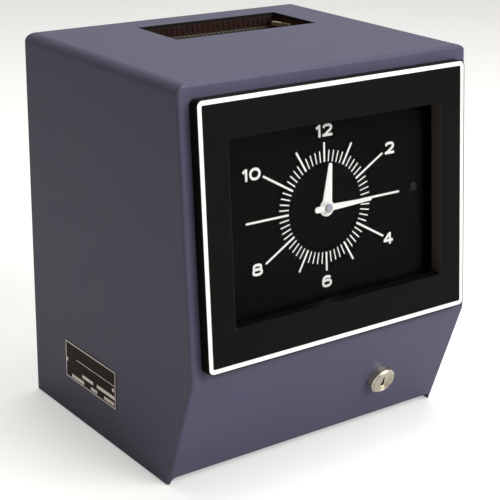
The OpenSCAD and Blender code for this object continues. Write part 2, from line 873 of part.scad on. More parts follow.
// Hand pointing up from its axis: a round hub and a blade that narrows to its tip
module hand(length, root_half, tip_half, hub) {
    cylinder(h = hand_t, r = hub);
    linear_extrude(hand_t) polygon([
        [-root_half, 0],
        [-tip_half, length - tip_half / 2],
        [-tip_half / 2, length],
        [tip_half / 2, length],
        [tip_half, length - tip_half / 2],
        [root_half, 0]
    ]);
}

module hour_hand() {
    color(white_line) on_dial(hour_hand_w) difference() {
        rotate(-shown_minutes / 2) hand(hour_hand_l, 4.6, 1.5, 6.3);
        translate([0, 0, -1]) cylinder(h = 3, r = pipe_r + seat_gap);
    }
}

module minute_hand() {
    tail_half = 2.2;
    color(white_line) on_dial(minute_hand_w) difference() {
        rotate(-shown_minutes * 6) {
            hand(minute_hand_l, 2.5, 1.1, 4.4);
            translate([-tail_half, -minute_tail_l + tail_half, 0])
                cube([2 * tail_half, minute_tail_l - tail_half, hand_t]);
            translate([0, -minute_tail_l + tail_half, 0]) cylinder(h = hand_t, r = tail_half);
        }
        translate([0, 0, -1]) cylinder(h = 3, r = arbor_r + seat_gap);
    }
}

module hand_cap() {
    color(zinc) on_dial(minute_hand_w + hand_t) {
        cylinder(h = cap_h * 0.6, r = 3.2);
        cylinder(h = cap_h, r = 2.2);
    }
}

motor_face_x = frame_x0 - 11;
strap_half = 37;
standoff_half = 32;

// Main motor on the left frame plate, with its mounting strap
module main_motor() {
    color(zinc) difference() {
        union() {
            x_rod(motor_r, motor_face_x - motor_l, motor_face_x + 0.5, type_d, motor_z);
            block(
                motor_face_x, motor_face_x + 1.5, type_d - strap_half, type_d + strap_half, motor_z - 14, motor_z + 3
            );
        }
        x_rod(2 + run_gap, motor_face_x - 10, motor_face_x + 3, type_d, motor_z);
    }
}

module motor_standoffs() {
    color(zinc) for (d = [type_d - standoff_half, type_d + standoff_half])
        x_rod(3, motor_face_x + 1.5, frame_x0 - plate_t, d, motor_z - 7);
}

// Gear drawn in the plane of the side view, from x0 and h thick
module side_gear(teeth, m, x0, h, d, z, bore, phase) {
    side_plate(x0, x0 + h) translate([d, z]) difference() {
        gear_outline(teeth, m, phase);
        if (bore > 0) circle(bore);
    }
}

module motor_pinion() {
    color(brass) {
        x_rod(2, motor_face_x - 9, motor_face_x + 3, type_d, motor_z);
        side_gear(pinion_teeth, drive_module, motor_face_x + 3, 5, type_d, motor_z, 0, 90);
    }
}

module drive_wheel() {
    color(brass) side_gear(
        drive_teeth, drive_module, motor_face_x + 4, 3, type_d, print_z, type_shaft_r + seat_gap,
        -90 + 180 / drive_teeth
    );
}

module type_shaft() {
    color(steel) {
        x_rod(type_shaft_r, motor_face_x + 2.5, frame_x1 + plate_t + 2, type_d, print_z);
        for (x = [frame_x0 + 0.5, frame_x1 - 3.5]) x_rod(collar_r, x, x + 3, type_d, print_z);
    }
}

// Wheel with raised type blocks round its rim
module type_wheel(index, count, bore) {
    x0 = throat_x + (index - 1.5) * type_pitch - type_w / 2;
    difference() {
        union() {
            x_rod(drum_r, x0, x0 + type_w, type_d, print_z);
            for (i = [0 : count - 1])
                translate([x0 + 0.6, back_y - type_d, print_z]) rotate([i * 360 / count, 0, 0])
                    translate([0, -0.55, drum_r - 1]) cube([type_w - 1.2, 1.1, type_r - drum_r + 1]);
        }
        x_rod(bore, x0 - 1, x0 + type_w + 1, type_d, print_z);
    }
}

module month_type_wheel() {
    color(brass) type_wheel(0, 12, type_shaft_r + run_gap);
}

module date_type_wheel() {
    color(brass) type_wheel(1, 31, type_shaft_r + run_gap);
}

module hour_type_wheel() {
    color(brass) type_wheel(2, 24, type_shaft_r + run_gap);
}

module minute_type_wheel() {
    color(brass) type_wheel(3, 30, type_shaft_r + seat_gap);
}

module hammer() {
    face_half = 12;
    arm_half = 4;
    color(steel) difference() {
        union() {
            x_rod(5.5, hammer_x - 9, hammer_x + 9, hammer_d, hammer_z);
            block(
                hammer_x - arm_half, hammer_x + arm_half, hammer_d - hammer_arm_t / 2, hammer_d + hammer_arm_t / 2,
                solenoid_z - 5, print_z + 5
            );
            block(
                hammer_x - face_half, hammer_x + face_half, hammer_d, hammer_face_d - pad_t, print_z - 5, print_z + 5
            );
        }
        x_rod(hammer_shaft_r + run_gap, hammer_x - 10, hammer_x + 10, hammer_d, hammer_z);
    }
}

module hammer_pad() {
    color(rubber_black) block(
        hammer_x - 12, hammer_x + 12, hammer_face_d - pad_t, hammer_face_d, print_z - 5, print_z + 5
    );
}

module hammer_shaft() {
    color(steel) x_rod(hammer_shaft_r, frame_x0 - plate_t, frame_x1 + plate_t, hammer_d, hammer_z);
}

// Solenoid in its yoke, on a bracket between the frame plates
module solenoid() {
    rear = 40;
    front = 80;
    yoke_t = 3;
    low = solenoid_z - solenoid_r;
    high = solenoid_z + solenoid_r;
    color(dark) difference() {
        union() {
            d_rod(solenoid_r - 2, hammer_x, rear, front, solenoid_z);
            for (d = [rear, front - yoke_t])
                block(hammer_x - solenoid_r, hammer_x + solenoid_r, d, d + yoke_t, low, high);
            block(frame_x0, frame_x1, rear, front, low - plate_t, low);
        }
        d_rod(plunger_r + run_gap, hammer_x, rear - 1, rear + 28, solenoid_z);
    }
}

module solenoid_plunger() {
    tip_d = hammer_d + hammer_arm_t / 2 + 0.3;
    color(steel) {
        d_rod(2, hammer_x, tip_d, tip_d + 7, solenoid_z);
        d_rod(plunger_r, hammer_x, tip_d + 7, 60, solenoid_z);
    }
}

// Spool with its axle, flanges and wound ribbon
module spool(z) {
    color(ink) {
        x_rod(2.5, frame_x0 - plate_t, frame_x1 + plate_t, spool_d, z);
        x_rod(spool_pack_r, throat_x - ribbon_w / 2, throat_x + ribbon_w / 2, spool_d, z);
        for (x = [throat_x - ribbon_w / 2 - sheet_t, throat_x + ribbon_w / 2])
            x_rod(spool_flange_r, x, x + sheet_t, spool_d, z);
        for (x = [frame_x0 + 0.5, frame_x1 - 3.5]) x_rod(collar_r, x, x + 3, spool_d, z);
    }
}

module upper_spool() {
    spool(spool_zs[1]);
}

module lower_spool() {
    spool(spool_zs[0]);
}

// Free run of the ribbon: from spool to spool behind the two pins
module ink_ribbon() {
    run_d = spool_d - spool_pack_r - 0.6 - ribbon_t;
    t = ribbon_t;
    d = ribbon_d;
    color(ink) side_plate(throat_x - ribbon_w / 2 + 0.5, throat_x + ribbon_w / 2 - 0.5) polygon([
        [run_d, spool_zs[0]],
        [run_d + t, spool_zs[0]],
        [d + t, ribbon_pin_zs[0] - 0.3],
        [d + t, ribbon_pin_zs[1] + 0.3],
        [run_d + t, spool_zs[1]],
        [run_d, spool_zs[1]],
        [d, ribbon_pin_zs[1] + 0.3],
        [d, ribbon_pin_zs[0] - 0.3]
    ]);
}

// Lever whose tip lies in the card channel, above the card stop
module trigger_lever() {
    color(steel) difference() {
        union() {
            x_rod(4, throat_x - 2, throat_x + 2, trigger_d, trigger_z);
            side_plate(throat_x - 2, throat_x + 2) polygon([
                [card_d - 1.5, trigger_z + 5],
                [card_d - 1.5, trigger_z + 2],
                [trigger_d, trigger_z - 3],
                [trigger_d + 20, trigger_z],
                [trigger_d + 20, trigger_z + 3],
                [trigger_d, trigger_z + 3]
            ]);
        }
        x_rod(trigger_r + run_gap, throat_x - 3, throat_x + 3, trigger_d, trigger_z);
    }
}

// Switch above the lever's tail, with the bracket that holds it and the lever's pin
module trigger_switch() {
    bracket_x = throat_x + 5;
    front = trigger_d + 28;
    color(dark) {
        x_rod(trigger_r, throat_x - 3, bracket_x, trigger_d, trigger_z);
        block(bracket_x, bracket_x + sheet_t, guide_front_d + sheet_t, front, trigger_z - 6, trigger_z + 26);
        block(throat_x - 5, bracket_x, front - 20, front, trigger_z + 10, trigger_z + 24);
    }
}

module transformer() {
    core_x0 = 15 - half_w;
    core_x1 = core_x0 + 50;
    color(dark) {
        block(core_x0, core_x1, 30, 62, floor_z, floor_z + 44);
        block(core_x0 + 10, core_x1 - 10, 20, 72, floor_z + 9, floor_z + 35);
    }
}

housing_cover();
bezel();
bezel_trim();
crystal();
crystal_clips();
bezel_screws();
hinge_studs();
rating_plate();
plate_rivets();
lock_barrel();
lock_nut();
lock_plug();
lock_cam();
base_plate();
rubber_feet();
back_plate();
case_screws();
cord_grommet();
lock_strike();
card_throat();
card_guide_rear();
card_guide_front();
card_guide_rails();
card_stop();
frame_plate_left();
frame_plate_right();
frame_pillars();
frame_screws();
movement_back_plate();
movement_front_plate();
dial_posts();
dial_plate();
dial_motor();
dial_pinion();
centre_arbor();
minute_hand();
hand_cap();
minute_wheel();
hour_wheel();
hour_hand();
main_motor();
motor_standoffs();
motor_pinion();
type_shaft();
drive_wheel();
minute_type_wheel();
hour_type_wheel();
date_type_wheel();
month_type_wheel();
hammer();
hammer_pad();
hammer_shaft();
solenoid();
solenoid_plunger();
upper_spool();
lower_spool();
ink_ribbon();
trigger_lever();
trigger_switch();
transformer();
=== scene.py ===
"""Looks of a time clock with a sloping dial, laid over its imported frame.

Every sub-assembly is a class that builds its extra pieces and dresses its nodes. Lengths in the
dataclass fields are millimetres; meshes are made in metres, in the frame's own axes: X to the
right, -Y to the front, Z up.
"""
import logging
import math
from dataclasses import dataclass, field
from enum import Enum

import bpy
from mathutils import Matrix, Vector


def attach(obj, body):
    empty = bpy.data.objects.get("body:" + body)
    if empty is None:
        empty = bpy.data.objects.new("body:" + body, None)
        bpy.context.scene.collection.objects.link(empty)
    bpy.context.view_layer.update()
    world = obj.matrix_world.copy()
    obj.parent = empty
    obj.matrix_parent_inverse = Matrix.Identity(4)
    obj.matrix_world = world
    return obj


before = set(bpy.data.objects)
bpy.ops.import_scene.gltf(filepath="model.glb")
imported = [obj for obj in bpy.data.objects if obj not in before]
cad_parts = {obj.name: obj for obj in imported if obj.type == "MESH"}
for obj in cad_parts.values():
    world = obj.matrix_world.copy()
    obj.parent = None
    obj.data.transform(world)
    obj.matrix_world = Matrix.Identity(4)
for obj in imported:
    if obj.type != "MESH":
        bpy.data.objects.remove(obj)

LOG = logging.getLogger("time_clock")
MM = 0.001
# The rear face of the case: half the depth with the dial frame, behind the origin.
BACK_Y = 116.2194


class Axis(Enum):
    """A main direction of the frame, by the name that Blender's wave texture uses."""

    DEPTH = "Y"
    UP = "Z"
    SLANT = "DIAGONAL"


class Run(Enum):
    """How a swept line passes through its points."""

    BEND = "AUTO"
    BAR = "VECTOR"
    LOOP = "CYCLIC"


class Body(Enum):
    """The CAD bodies that carry the new pieces."""

    CHASSIS = "chassis"
    COVER = "cover"


def linear(code: str) -> tuple[float, float, float, float]:
    """Turn an sRGB hex colour into linear RGBA.

    Args:
        code: The colour as "#rrggbb".

    Returns:
        The linear colour.
    """
    parts = [int(code[i : i + 2], 16) / 255 for i in (1, 3, 5)]
    red, green, blue = (p / 12.92 if p <= 0.04045 else ((p + 0.055) / 1.055) ** 2.4 for p in parts)
    return red, green, blue, 1.0


def add_node(tree: bpy.types.NodeTree, kind: str, inputs: dict | None = None, **settings: object) -> bpy.types.Node:
    """Add a node with its settings, and set or link its inputs.

    Args:
        tree: The node tree that takes the node.
        kind: The node's type name.
        inputs: Values or output sockets, by the input's name or number.
        settings: Attributes of the node.

    Returns:
        The new node.
    """
    node = tree.nodes.new(kind)
    for key, value in settings.items():
        setattr(node, key, value)
    for key, value in (inputs or {}).items():
        if isinstance(value, bpy.types.NodeSocket):
            tree.links.new(value, node.inputs[key])
        else:
            node.inputs[key].default_value = value
    return node


@dataclass(frozen=True)
class Finish:
    """A surface finish whose colour, gloss and relief drift with a fine grain.

    The name is the real material and how its surface was made. Periods and heights are real
    sizes in millimetres, and stretch makes the grain longer along an axis.
    """

    name: str
    colour: str
    roughness: float
    tint: str = ""
    metallic: float = 0.0
    ior: float = 1.5
    specular: float = 0.5
    coat: float = 0.0
    coat_roughness: float = 0.1
    mottle_period: float = 12.0
    grain_period: float = 2.0
    grain_height: float = 0.01
    gloss_drift: float = 0.05
    stretch: tuple[float, float, float] = (1.0, 1.0, 1.0)
    edge_radius: float = 0.0

    def material(self) -> bpy.types.Material:
        """Make the material once, and give the same one after that.

        Returns:
            The node material.
        """
        known = bpy.data.materials.get(self.name)
        if known:
            return known
        made = bpy.data.materials.new(self.name)
        made.use_nodes = True
        tree = made.node_tree
        shader = tree.nodes["Principled BSDF"]
        shader.inputs["Metallic"].default_value = self.metallic
        shader.inputs["IOR"].default_value = self.ior
        shader.inputs["Specular IOR Level"].default_value = self.specular
        shader.inputs["Coat Weight"].default_value = self.coat
        shader.inputs["Coat Roughness"].default_value = self.coat_roughness
        self.paint(tree, shader)
        made.diffuse_color = linear(self.colour)
        return made

    def grain(self, tree: bpy.types.NodeTree, period: float, detail: float = 2.0) -> bpy.types.NodeSocket:
        """Add a noise of a real period, stretched along the grain.

        Args:
            tree: The material's nodes.
            period: The size of one patch in millimetres.
            detail: How much finer noise is added.

        Returns:
            The noise value's socket.
        """
        place = add_node(tree, "ShaderNodeTexCoord")
        stretched = add_node(
            tree,
            "ShaderNodeMapping",
            {"Vector": place.outputs["Object"], "Scale": tuple(1 / s for s in self.stretch)},
        )
        noise = add_node(
            tree, "ShaderNodeTexNoise", {"Vector": stretched.outputs[0], "Scale": 1 / (period * MM), "Detail": detail}
        )
        return noise.outputs[0]

    def mottled(self, tree: bpy.types.NodeTree, share: bpy.types.NodeSocket) -> bpy.types.NodeSocket:
        """Let the colour drift towards its tint.

        Args:
            tree: The material's nodes.
            share: The socket of the tint's share, between 0 and 1.

        Returns:
            The colour's socket.
        """
        ends = {0: share, 6: linear(self.colour), 7: linear(self.tint or self.colour)}
        return add_node(tree, "ShaderNodeMix", ends, data_type="RGBA").outputs[2]

    def inside(self, tree: bpy.types.NodeTree, **spans: tuple[float, float]) -> bpy.types.NodeSocket:
        """Tell the places whose coordinates lie in their spans.

        Args:
            tree: The material's nodes.
            spans: Middle and half width in millimetres, by the coordinate's letter.

        Returns:
            A value of 1 inside all spans, and 0 elsewhere.
        """
        place = add_node(tree, "ShaderNodeTexCoord")
        parts = add_node(tree, "ShaderNodeSeparateXYZ", {0: place.outputs["Object"]})
        whole = None
        for letter, (middle, half) in spans.items():
            limits = {0: parts.outputs[letter], 1: middle * MM, 2: half * MM}
            part = add_node(tree, "ShaderNodeMath", limits, operation="COMPARE").outputs[0]
            if whole is not None:
                part = add_node(tree, "ShaderNodeMath", {0: whole, 1: part}, operation="MINIMUM").outputs[0]
            whole = part
        return whole

    def overlay(
        self, tree: bpy.types.NodeTree, shader: bpy.types.Node, mask: bpy.types.NodeSocket, colour: str
    ) -> None:
        """Show another colour where a mask is 1.

        Args:
            tree: The material's nodes.
            shader: The principled shader, with its colour linked.
            mask: The mask's socket.
            colour: The other colour as "#rrggbb".
        """
        body = shader.inputs["Base Color"].links[0].from_socket
        blend = add_node(tree, "ShaderNodeMix", {0: mask, 6: body, 7: linear(colour)}, data_type="RGBA")
        tree.links.new(blend.outputs[2], shader.inputs["Base Color"])

    def paint(self, tree: bpy.types.NodeTree, shader: bpy.types.Node) -> None:
        """Link colour, roughness and relief to the shader.

        Args:
            tree: The material's nodes.
            shader: The principled shader.
        """
        mottle = self.grain(tree, self.mottle_period, 4.0)
        fine = self.grain(tree, self.grain_period)
        tree.links.new(self.mottled(tree, mottle), shader.inputs["Base Color"])
        gloss = add_node(
            tree,
            "ShaderNodeMapRange",
            {
                "Value": mottle,
                "From Min": 0.3,
                "From Max": 0.7,
                "To Min": self.roughness - self.gloss_drift,
                "To Max": self.roughness + self.gloss_drift,
            },
        )
        tree.links.new(gloss.outputs[0], shader.inputs["Roughness"])
        self.relief(tree, shader, fine)

    def relief(self, tree: bpy.types.NodeTree, shader: bpy.types.Node, height: bpy.types.NodeSocket) -> None:
        """Turn a height into the shader's normal, over softened edges where the finish has them.

        Args:
            tree: The material's nodes.
            shader: The principled shader.
            height: The socket of a height between 0 and 1.
        """
        inputs = {"Strength": 1.0, "Distance": self.grain_height * MM, "Height": height}
        if self.edge_radius > 0:
            soft = add_node(tree, "ShaderNodeBevel", {"Radius": self.edge_radius * MM}, samples=4)
            inputs["Normal"] = soft.outputs[0]
        bump = add_node(tree, "ShaderNodeBump", inputs)
        tree.links.new(bump.outputs[0], shader.inputs["Normal"])


@dataclass(frozen=True)
class BandedFinish(Finish):
    """A finish with straight bands, such as stacked laminations or a wound coil."""

    band_period: float = 1.0
    band_axis: Axis = Axis.UP
    band_colour: str = "#000000"

    def paint(self, tree: bpy.types.NodeTree, shader: bpy.types.Node) -> None:
        """Link the bands to colour and relief, with a mottle over both.

        Args:
            tree: The material's nodes.
            shader: The principled shader.
        """
        place = add_node(tree, "ShaderNodeTexCoord")
        bands = add_node(
            tree,
            "ShaderNodeTexWave",
            # A wave texture shows 20 / (2 pi) bands for each unit of its scale.
            {"Vector": place.outputs["Object"], "Scale": math.tau / 20 / (self.band_period * MM), "Distortion": 0.0},
            wave_type="BANDS",
            bands_direction=self.band_axis.value,
        )
        body = self.mottled(tree, self.grain(tree, self.mottle_period, 3.0))
        blend = add_node(
            tree,
            "ShaderNodeMix",
            {0: bands.outputs["Fac"], 6: linear(self.band_colour), 7: body},
            data_type="RGBA",
        )
        tree.links.new(blend.outputs[2], shader.inputs["Base Color"])
        shader.inputs["Roughness"].default_value = self.roughness
        self.relief(tree, shader, bands.outputs["Fac"])


@dataclass(frozen=True)
class ClearFinish(Finish):
    """A clear sheet: most of the light goes through, and its faces keep a weak shine."""

    alpha: float = 0.1

    def paint(self, tree: bpy.types.NodeTree, shader: bpy.types.Node) -> None:
        """Link a faint drift of gloss and set how clear the sheet is.

        Args:
            tree: The material's nodes.
            shader: The principled shader.
        """
        super().paint(tree, shader)
        shader.inputs["Alpha"].default_value = self.alpha


@dataclass(frozen=True)
class SpoolFinish(Finish):
    """A spool: wound ribbon between two flanges, told apart by the distance from their middle."""

    middle: float = 19.0
    half: float = 13.0
    flange_colour: str = "#8f9296"
    flange_roughness: float = 0.35
    turn_period: float = 0.9

    def paint(self, tree: bpy.types.NodeTree, shader: bpy.types.Node) -> None:
        """Link cloth inside the flanges and sheet steel from the flanges outwards.

        Args:
            tree: The material's nodes.
            shader: The principled shader.
        """
        wound = self.inside(tree, X=(self.middle, self.half))
        cloth = self.mottled(tree, self.grain(tree, self.mottle_period, 3.0))
        blend = add_node(
            tree, "ShaderNodeMix", {0: wound, 6: linear(self.flange_colour), 7: cloth}, data_type="RGBA"
        )
        tree.links.new(blend.outputs[2], shader.inputs["Base Color"])
        metal = add_node(tree, "ShaderNodeMath", {0: 1.0, 1: wound}, operation="SUBTRACT")
        tree.links.new(metal.outputs[0], shader.inputs["Metallic"])
        rough = add_node(
            tree, "ShaderNodeMapRange", {"Value": wound, "To Min": self.flange_roughness, "To Max": self.roughness}
        )
        tree.links.new(rough.outputs[0], shader.inputs["Roughness"])
        self.relief(tree, shader, self.grain(tree, self.turn_period))


@dataclass(frozen=True)
class CutEnamel(Finish):
    """Sprayed enamel with one opening, whose rim carries painted shade: a dark colour stands in for the shadow in the
    gap below it.
    """

    # Painted shade: this dark colour on the opening's rim stands in for the shadow in the gap.
    rim_shade_colour: str = "#17120f"
    across: tuple[float, float] = (19.0, 65.15)
    deep: tuple[float, float] = (BACK_Y - 56.5, 27.65)

    def paint(self, tree: bpy.types.NodeTree, shader: bpy.types.Node) -> None:
        """Darken the faces that lie on the opening's outline, seen from above, as painted shade.

        Args:
            tree: The material's nodes.
            shader: The principled shader.
        """
        super().paint(tree, shader)
        self.overlay(tree, shader, self.inside(tree, X=self.across, Y=self.deep), self.rim_shade_colour)


@dataclass(frozen=True)
class FrameFinish(Finish):
    """A moulding with one window, whose upright inner walls carry painted light: a paler colour than its faces."""

    # Painted light: this paler colour stands in for the light and reflection that fall on the window's walls.
    painted_wall_light: str = "#48443f"
    wall_place: tuple[float, float] = (94.45, 0.15)
    wall_reach: tuple[float, float] = (190.56, 64.8)

    def paint(self, tree: bpy.types.NodeTree, shader: bpy.types.Node) -> None:
        """Paint the faces on the window's upright edges, seen from the front, in a paler colour that stands in for
        the light on them.

        Args:
            tree: The material's nodes.
            shader: The principled shader.
        """
        super().paint(tree, shader)
        middle, half = self.wall_place
        left = self.inside(tree, X=(-middle, half), Z=self.wall_reach)
        right = self.inside(tree, X=(middle, half), Z=self.wall_reach)
        either = add_node(tree, "ShaderNodeMath", {0: left, 1: right}, operation="MAXIMUM")
        self.overlay(tree, shader, either.outputs[0], self.painted_wall_light)


# Baked enamel: slate blue, an even semi-gloss with the faint orange peel of a sprayed coat, and painted shade on the
# rim of its top opening.
ENAMEL = CutEnamel(
    "baked slate-blue enamel on sheet steel", "#4b4a60", 0.42, tint="#545369", specular=0.2, coat=0.06,
    coat_roughness=0.14, mottle_period=30, grain_period=2.2, grain_height=0.012, edge_radius=0.6,
)
# Moulded ABS: near black, with the soft sheen and slight cloudiness of a large moulding.
MOULDED_BLACK = Finish(
    "moulded black ABS", "#0c0a08", 0.42, tint="#110e0b", specular=0.06, mottle_period=25, grain_period=1.2,
    grain_height=0.008, edge_radius=0.6,
)
# The dial frame: the same moulding, with painted light on the upright walls of its window, which are coloured paler
# than its faces.
FRAME_BLACK = FrameFinish(
    "moulded black ABS with painted light on its window walls", "#0c0a08", 0.42, tint="#110e0b", specular=0.06, mottle_period=25,
    grain_period=1.2, grain_height=0.008, edge_radius=0.6,
)
# Screened white ink: opaque and slightly warm, with an uneven edge of gloss.
WHITE_INK = Finish(
    "screened white ink", "#fefdfb", 0.5, tint="#f7f6f2", specular=0.3, mottle_period=6, grain_period=0.8,
    grain_height=0.003,
)
# Matt dial enamel: a deep black with hardly any shine, so that the white print stands out.
DIAL_BLACK = Finish(
    "matt black dial enamel", "#060505", 0.7, tint="#090807", specular=0.02, mottle_period=20, grain_period=0.9,
    grain_height=0.004,
)
# Cast acrylic: clear, with a weak even shine.
ACRYLIC = ClearFinish(
    "cast clear acrylic", "#020202", 0.06, ior=1.49, mottle_period=60, grain_period=30, grain_height=0.0,
    gloss_drift=0.02, alpha=0.04,
)
# White lacquer on aluminium: the hands, a little brighter than the print.
HAND_WHITE = Finish(
    "white lacquer on aluminium", "#fffefc", 0.4, tint="#f9f8f5", specular=0.3, mottle_period=8, grain_period=0.7,
    grain_height=0.002,
)
# Nickel plate on a zinc casting: warm pale metal, satin from tumbling.
NICKEL = Finish(
    "satin nickel plate on cast zinc", "#e6dfce", 0.34, tint="#d2cab8", metallic=1.0, mottle_period=4,
    grain_period=0.6, grain_height=0.004, gloss_drift=0.08, edge_radius=0.3,
)
# Dull zinc: the small turned cap of the hands, a pale bluish grey without sparkle.
DULL_ZINC = Finish(
    "passivated turned zinc", "#b4b8c2", 0.5, tint="#9da1ac", metallic=0.3, mottle_period=1.6, grain_period=0.6,
    grain_height=0.003,
)
# Zinc plate: bluish grey with a faint spangle.
ZINC = Finish(
    "bright zinc plate on steel", "#b9bcc0", 0.32, tint="#a8adb6", metallic=1.0, mottle_period=5, grain_period=1.0,
    grain_height=0.004, gloss_drift=0.1,
)
# Cold-rolled steel: fine rolling streaks along the sheet, oiled and slightly dull.
ROLLED_STEEL = Finish(
    "cold-rolled sheet steel", "#9a9c9f", 0.38, tint="#85888c", metallic=1.0, mottle_period=6, grain_period=1.0,
    grain_height=0.004, gloss_drift=0.1, stretch=(1.0, 1.0, 12.0),
)
# Turned steel: bright, with a fine grain squeezed along X, as turning marks on the shafts are.
TURNED_STEEL = Finish(
    "turned steel", "#aeb0b3", 0.24, tint="#95979b", metallic=1.0, mottle_period=3, grain_period=0.8,
    grain_height=0.003, stretch=(0.2, 1.0, 1.0),
)
# Sheet brass: yellow, brushed along its length, with a slight brown bloom.
BRASS = Finish(
    "brushed sheet brass", "#c9a353", 0.3, tint="#a5803a", metallic=1.0, mottle_period=14, grain_period=0.8,
    grain_height=0.003, gloss_drift=0.08, stretch=(6.0, 1.0, 1.0),
)
# Crinkle paint: the throat's liner, a dark red brown that swallows light.
THROAT_PAINT = Finish(
    "brown crinkle paint on sheet steel", "#32170e", 0.66, tint="#1b0e09", specular=0.2, mottle_period=7,
    grain_period=1.1, grain_height=0.05,
)
# Knurled steel: a diagonal knurl of 1 mm, drawn at 2 mm so that it shows.
KNURL = BandedFinish(
    "knurled phosphated steel", "#6a675b", 0.5, tint="#57554a", metallic=0.6, band_period=2.0,
    band_axis=Axis.SLANT, band_colour="#26251f", grain_height=0.12, mottle_period=5,
)
# Etched and blackened aluminium: the rating plate's warm black ground, with a golden bloom.
PLATE_BLACK = Finish(
    "etched and blackened aluminium", "#2b1c0a", 0.5, tint="#0c0906", specular=0.12, mottle_period=3.2,
    grain_period=0.8, grain_height=0.003, stretch=(1.0, 2.5, 1.0),
)
# Bare aluminium left by the etching: pale silver, which mirrors what it faces.
BARE_ALUMINIUM = Finish(
    "bare etched aluminium", "#f4efea", 0.4, tint="#ddd4cc", metallic=1.0, mottle_period=3, grain_period=0.5,
    grain_height=0.002,
)
# Moulded rubber: dull black with a dusty bloom.
RUBBER = Finish(
    "moulded black rubber", "#171717", 0.75, tint="#232220", specular=0.3, mottle_period=4, grain_period=0.7,
    grain_height=0.02,
)
# Inked ribbon cloth: a tight weave of 0.3 mm, drawn at 0.9 mm so that it shows.
RIBBON_CLOTH = BandedFinish(
    "inked cotton ribbon", "#2b2440", 0.85, tint="#221d33", specular=0.2, band_period=0.9, band_axis=Axis.UP,
    band_colour="#15121f", grain_height=0.05, mottle_period=6,
)
# Spool: the same cloth wound up, between flanges of plain sheet steel.
SPOOL = SpoolFinish(
    "inked ribbon wound on a steel spool", "#241f35", 0.85, tint="#17131f", mottle_period=5, grain_height=0.05,
)
# Enamelled copper wire: even turns of 0.6 mm, drawn at 1.2 mm.
COPPER_WINDING = BandedFinish(
    "enamelled copper winding", "#9a4f26", 0.35, tint="#843f1c", metallic=0.7, band_period=1.2,
    band_axis=Axis.DEPTH, band_colour="#4e2412", grain_height=0.15,
)
# Varnished paper tape: amber, laid in turns 6 mm wide round the coil.
PAPER_TAPE = BandedFinish(
    "varnished paper tape", "#a8803c", 0.4, tint="#8f6a2e", coat=0.3, band_period=6.0, band_axis=Axis.DEPTH,
    band_colour="#7d5c27", grain_height=0.1, mottle_period=8,
)
# Stacked transformer iron: sheets of 0.5 mm, drawn at 1.2 mm.
LAMINATIONS = BandedFinish(
    "stacked silicon-steel laminations", "#66676a", 0.5, tint="#55565a", metallic=0.8, band_period=1.2,
    band_axis=Axis.DEPTH, band_colour="#2c2c2d", grain_height=0.1,
)
# Wire sleeves: soft PVC with a waxy sheen, slightly uneven along the wire.
YELLOW_WIRE = Finish(
    "extruded yellow PVC sleeve", "#c9a227", 0.45, tint="#b08c1e", mottle_period=8, grain_period=1.0,
    grain_height=0.01,
)
RED_WIRE = Finish(
    "extruded red PVC sleeve", "#8f2318", 0.45, tint="#7a1c13", mottle_period=8, grain_period=1.0,
    grain_height=0.01,
)
BLACK_WIRE = Finish(
    "extruded black PVC sleeve", "#1d1d1e", 0.45, tint="#28282a", mottle_period=8, grain_period=1.0,
    grain_height=0.01,
)
# Black phenolic: hard, faintly brown and polished by the mould.
PHENOLIC = Finish(
    "moulded phenolic", "#201a17", 0.35, tint="#2b221d", mottle_period=6, grain_period=1.0, grain_height=0.004,
)
# Black oxide: thin, dull and slightly blue.
BLACK_OXIDE = Finish(
    "black-oxide steel", "#2b2d31", 0.45, tint="#212226", metallic=0.7, mottle_period=8, grain_period=1.0,
    grain_height=0.004,
)
# Grey hammer paint: the motors' shells, dimpled by the drying paint.
HAMMER_GREY = Finish(
    "grey hammer paint on cast aluminium", "#6f7478", 0.35, tint="#5c6165", metallic=0.3, coat=0.3, mottle_period=9,
    grain_period=3.0, grain_height=0.12,
)


@dataclass(frozen=True)
class DialPlane:
    """The plane of the sloping dial: x across, u up the face and w outward from the sheet's face."""

    kink_depth: float = 225.0
    kink_height: float = 91.0
    top_depth: float = 207.0
    top_height: float = 294.0
    centre_u: float = 99.948

    def matrix(self, w: float = 0.0) -> Matrix:
        """Give the place of the dial's centre.

        Args:
            w: Distance outward from the sheet's face in millimetres.

        Returns:
            The matrix from the dial's own axes to the frame's, in metres.
        """
        tilt = math.atan2(self.kink_depth - self.top_depth, self.top_height - self.kink_height)
        up = Vector((0, math.sin(tilt), math.cos(tilt)))
        out = Vector((0, -math.cos(tilt), math.sin(tilt)))
        foot = Vector((0, BACK_Y - self.kink_depth, self.kink_height))
        spot = (foot + up * self.centre_u + out * w) * MM
        turn = Matrix(((1, up.x, out.x), (0, up.y, out.y), (0, up.z, out.z))).to_4x4()
        return Matrix.Translation(spot) @ turn


def dress(finish: Finish, *nodes: str) -> None:
    """Give CAD nodes a finish by their material slots.

    Args:
        finish: The finish to show.
        nodes: The nodes' names.
    """
    for name in nodes:
        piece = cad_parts[name]
        if not piece.material_slots:
            piece.data.materials.append(None)
        for slot in piece.material_slots:
            slot.material = finish.material()
        LOG.info("%s wears %s", name, finish.name)


def deselect() -> None:
    """Leave nothing selected."""
    bpy.ops.object.select_all(action="DESELECT")


def select(*pieces: bpy.types.Object) -> None:
    """Select just these pieces, with the first one active.

    Args:
        pieces: The objects, at least one.
    """
    deselect()
    for piece in pieces:
        piece.select_set(True)
    bpy.context.view_layer.objects.active = pieces[0]


def current() -> bpy.types.Object:
    """Give the object that the last operator made."""
    return bpy.context.view_layer.objects.active


def settle(piece: bpy.types.Object, place: Matrix) -> bpy.types.Object:
    """Put a piece's place into its mesh, so that its object sits at the origin.

    Args:
        piece: The piece, modelled about the origin.
        place: Where its origin goes in the frame.

    Returns:
        The same piece.
    """
    select(piece)
    piece.matrix_world = place @ piece.matrix_world
    bpy.ops.object.transform_apply(location=True, rotation=True, scale=True)
    return piece


